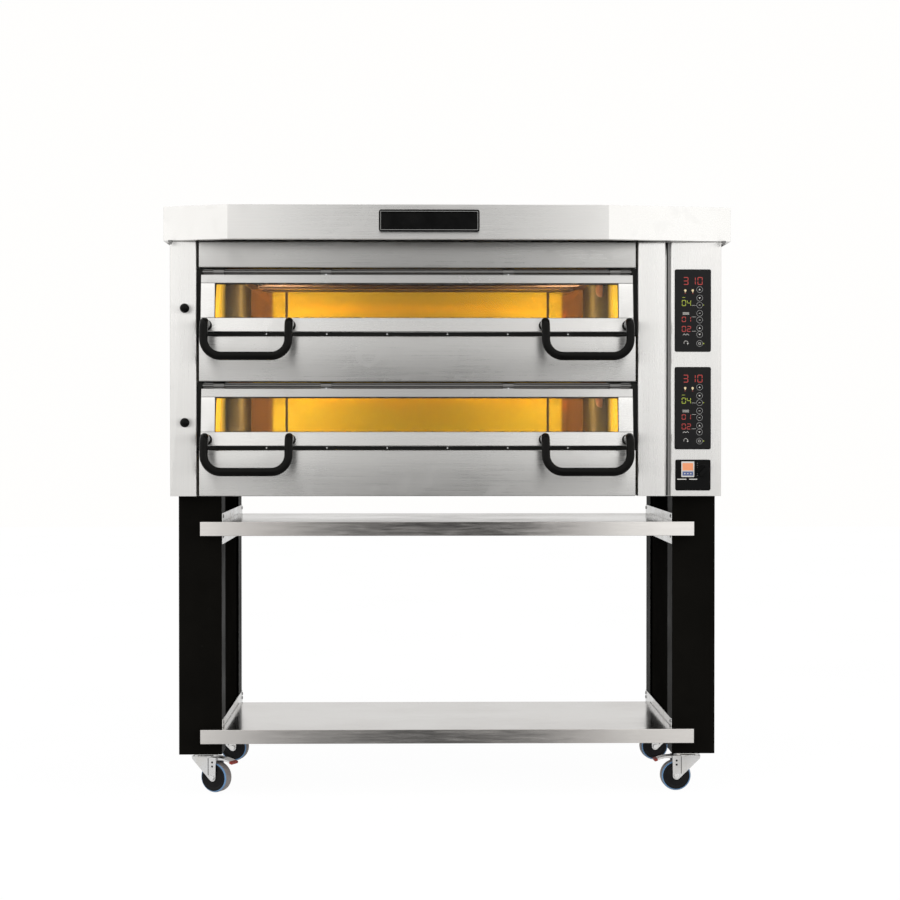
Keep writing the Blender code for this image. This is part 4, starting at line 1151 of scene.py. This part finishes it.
def make_castor(corner):
    matrix = castor_matrix(corner)
    refined(f"{corner}_castor_fork", CASTOR_ZINC, 0.0005, 2, 30)
    make_wheel(corner, matrix)
    nuts = Piece(f"{corner}_axle_nuts")
    outline = hexagon((CASTOR_TRAIL, WHEEL_RADIUS), 0.0072)
    nuts.prism(outline, "Y", NUT_NEAR, NUT_FAR)
    nuts.prism(outline, "Y", -NUT_FAR, -NUT_NEAR)
    nuts.finish(HARDWARE, f"{corner}_swivel", "castor_zinc", (), matrix, 0.0006)
    plate = Piece(f"{corner}_castor_plate")
    leg_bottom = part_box("left_front_leg")[0].z
    outline = rectangle(-PLATE_HALF, -PLATE_HALF, PLATE_HALF, PLATE_HALF, 0.006)
    plate.prism(outline, "Z", leg_bottom - 0.0052, leg_bottom - 0.0004)
    square = Matrix.Translation(matrix.translation)
    plate.finish(CASTOR_ZINC, "root", "castor_zinc", (), square, 0.0006)
    bolts = Piece(f"{corner}_plate_bolts")
    for x in (-PLATE_BOLT, PLATE_BOLT):
        for y in (-PLATE_BOLT, PLATE_BOLT):
            bolts.prism(hexagon((x, y), 0.0058), "Z", leg_bottom - 0.0092, leg_bottom - 0.005)
    bolts.finish(HARDWARE, "root", "zinc_plate", (), square, 0.0005)
    # Black discs and a black line on the fork's cheeks: painted shade in its dimples and along its crease.
    fork_shade = Piece(f"{corner}_fork_shade_marks")
    for side in (-1, 1):
        for z in (0.07, 0.081):
            fork_shade.turned([(0.0028, side * 0.0206), (0.0028, side * 0.0214)], "Y", (CASTOR_TRAIL, 0, z), 20)
        x, y = CASTOR_TRAIL - 0.0125, side * 0.0208
        fork_shade.box((x - 0.0008, x + 0.0008), sorted((y, y + side * 0.0006)), (0.046, 0.092))
    fork_shade.finish(RECESS_BLACK, f"{corner}_swivel", "black_plastic", (), matrix)
    if "front" in corner:
        make_brake(corner, matrix)


def make_wheel(corner, matrix):
    """A blue tyre with a grey-brown tread, on a dished hub."""
    axle, body = (CASTOR_TRAIL, 0, WHEEL_RADIUS), f"{corner}_roller"
    tyre = Piece(f"{corner}_tyre")
    profile = [(TYRE_INNER, -TYRE_HALF), (0.0372, -TYRE_HALF), (TYRE_SHOULDER, -TYRE_HALF + 0.003),
               (WHEEL_RADIUS - 0.0008, -0.0085)]
    tyre.turned(mirrored(profile), "Y", axle, 72, closed=True)
    tyre.finish(TYRE, body, "castor_rubber", (), matrix, 0.0012, 3, 20)
    tread = Piece(f"{corner}_tread")
    profile = [(WHEEL_RADIUS - 0.002, -0.0125), (WHEEL_RADIUS - 0.0005, -0.012), (WHEEL_RADIUS, -0.0095)]
    tread.turned(mirrored(profile), "Y", axle, 72, closed=True)
    tread.finish(TREAD, body, "castor_rubber", (), matrix)
    hub = Piece(f"{corner}_hub")
    wall = TYRE_HALF + 0.001
    profile = [(0.0048, -wall - 0.0004), (0.011, -wall - 0.0004), (0.012, -wall + 0.0012),
               (0.027, -wall + 0.0022), (0.03, -wall + 0.0002), (0.0354, -wall + 0.0002),
               (0.0361, -wall + 0.0014)]
    hub.turned(mirrored(profile), "Y", axle, 60, closed=True)
    hub.finish(HUB, body, "black_plastic", (f"{corner}_wheel",), matrix, 0.0006, 2, 30)


def make_brake(corner, matrix):
    lever = f"{corner}_brake_lever"
    refined(lever, CASTOR_ZINC, 0.0008, 2, 30)
    start = CASTOR_TRAIL + 0.0115
    cap = Piece(f"{corner}_brake_cap")
    outline = [(start + 0.039, 0.0869), (start + 0.0478, 0.0832),
               (start + 0.046, 0.0776), (start + 0.0375, 0.0802)]
    cap.prism(outline, "Y", -0.0158, 0.0158)
    cap.finish(RED, frame["nodes"][lever]["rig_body"], None, (), matrix, 0.0012, 3)


# ---- Assembly ----

make_camera()
make_world()
make_lights()
make_floor()
make_casing()
make_casing_details()
make_stand()
make_stand_details()
for deck_name in DECKS:
    make_door(deck_name)
    make_recess(deck_name)
    make_damper(deck_name)
    make_chamber(deck_name)
    make_control_glass(deck_name)
make_switch()
for corner_name in CASTOR_ANGLES:
    make_castor(corner_name)
bpy.context.scene.view_settings.view_transform = "Standard"
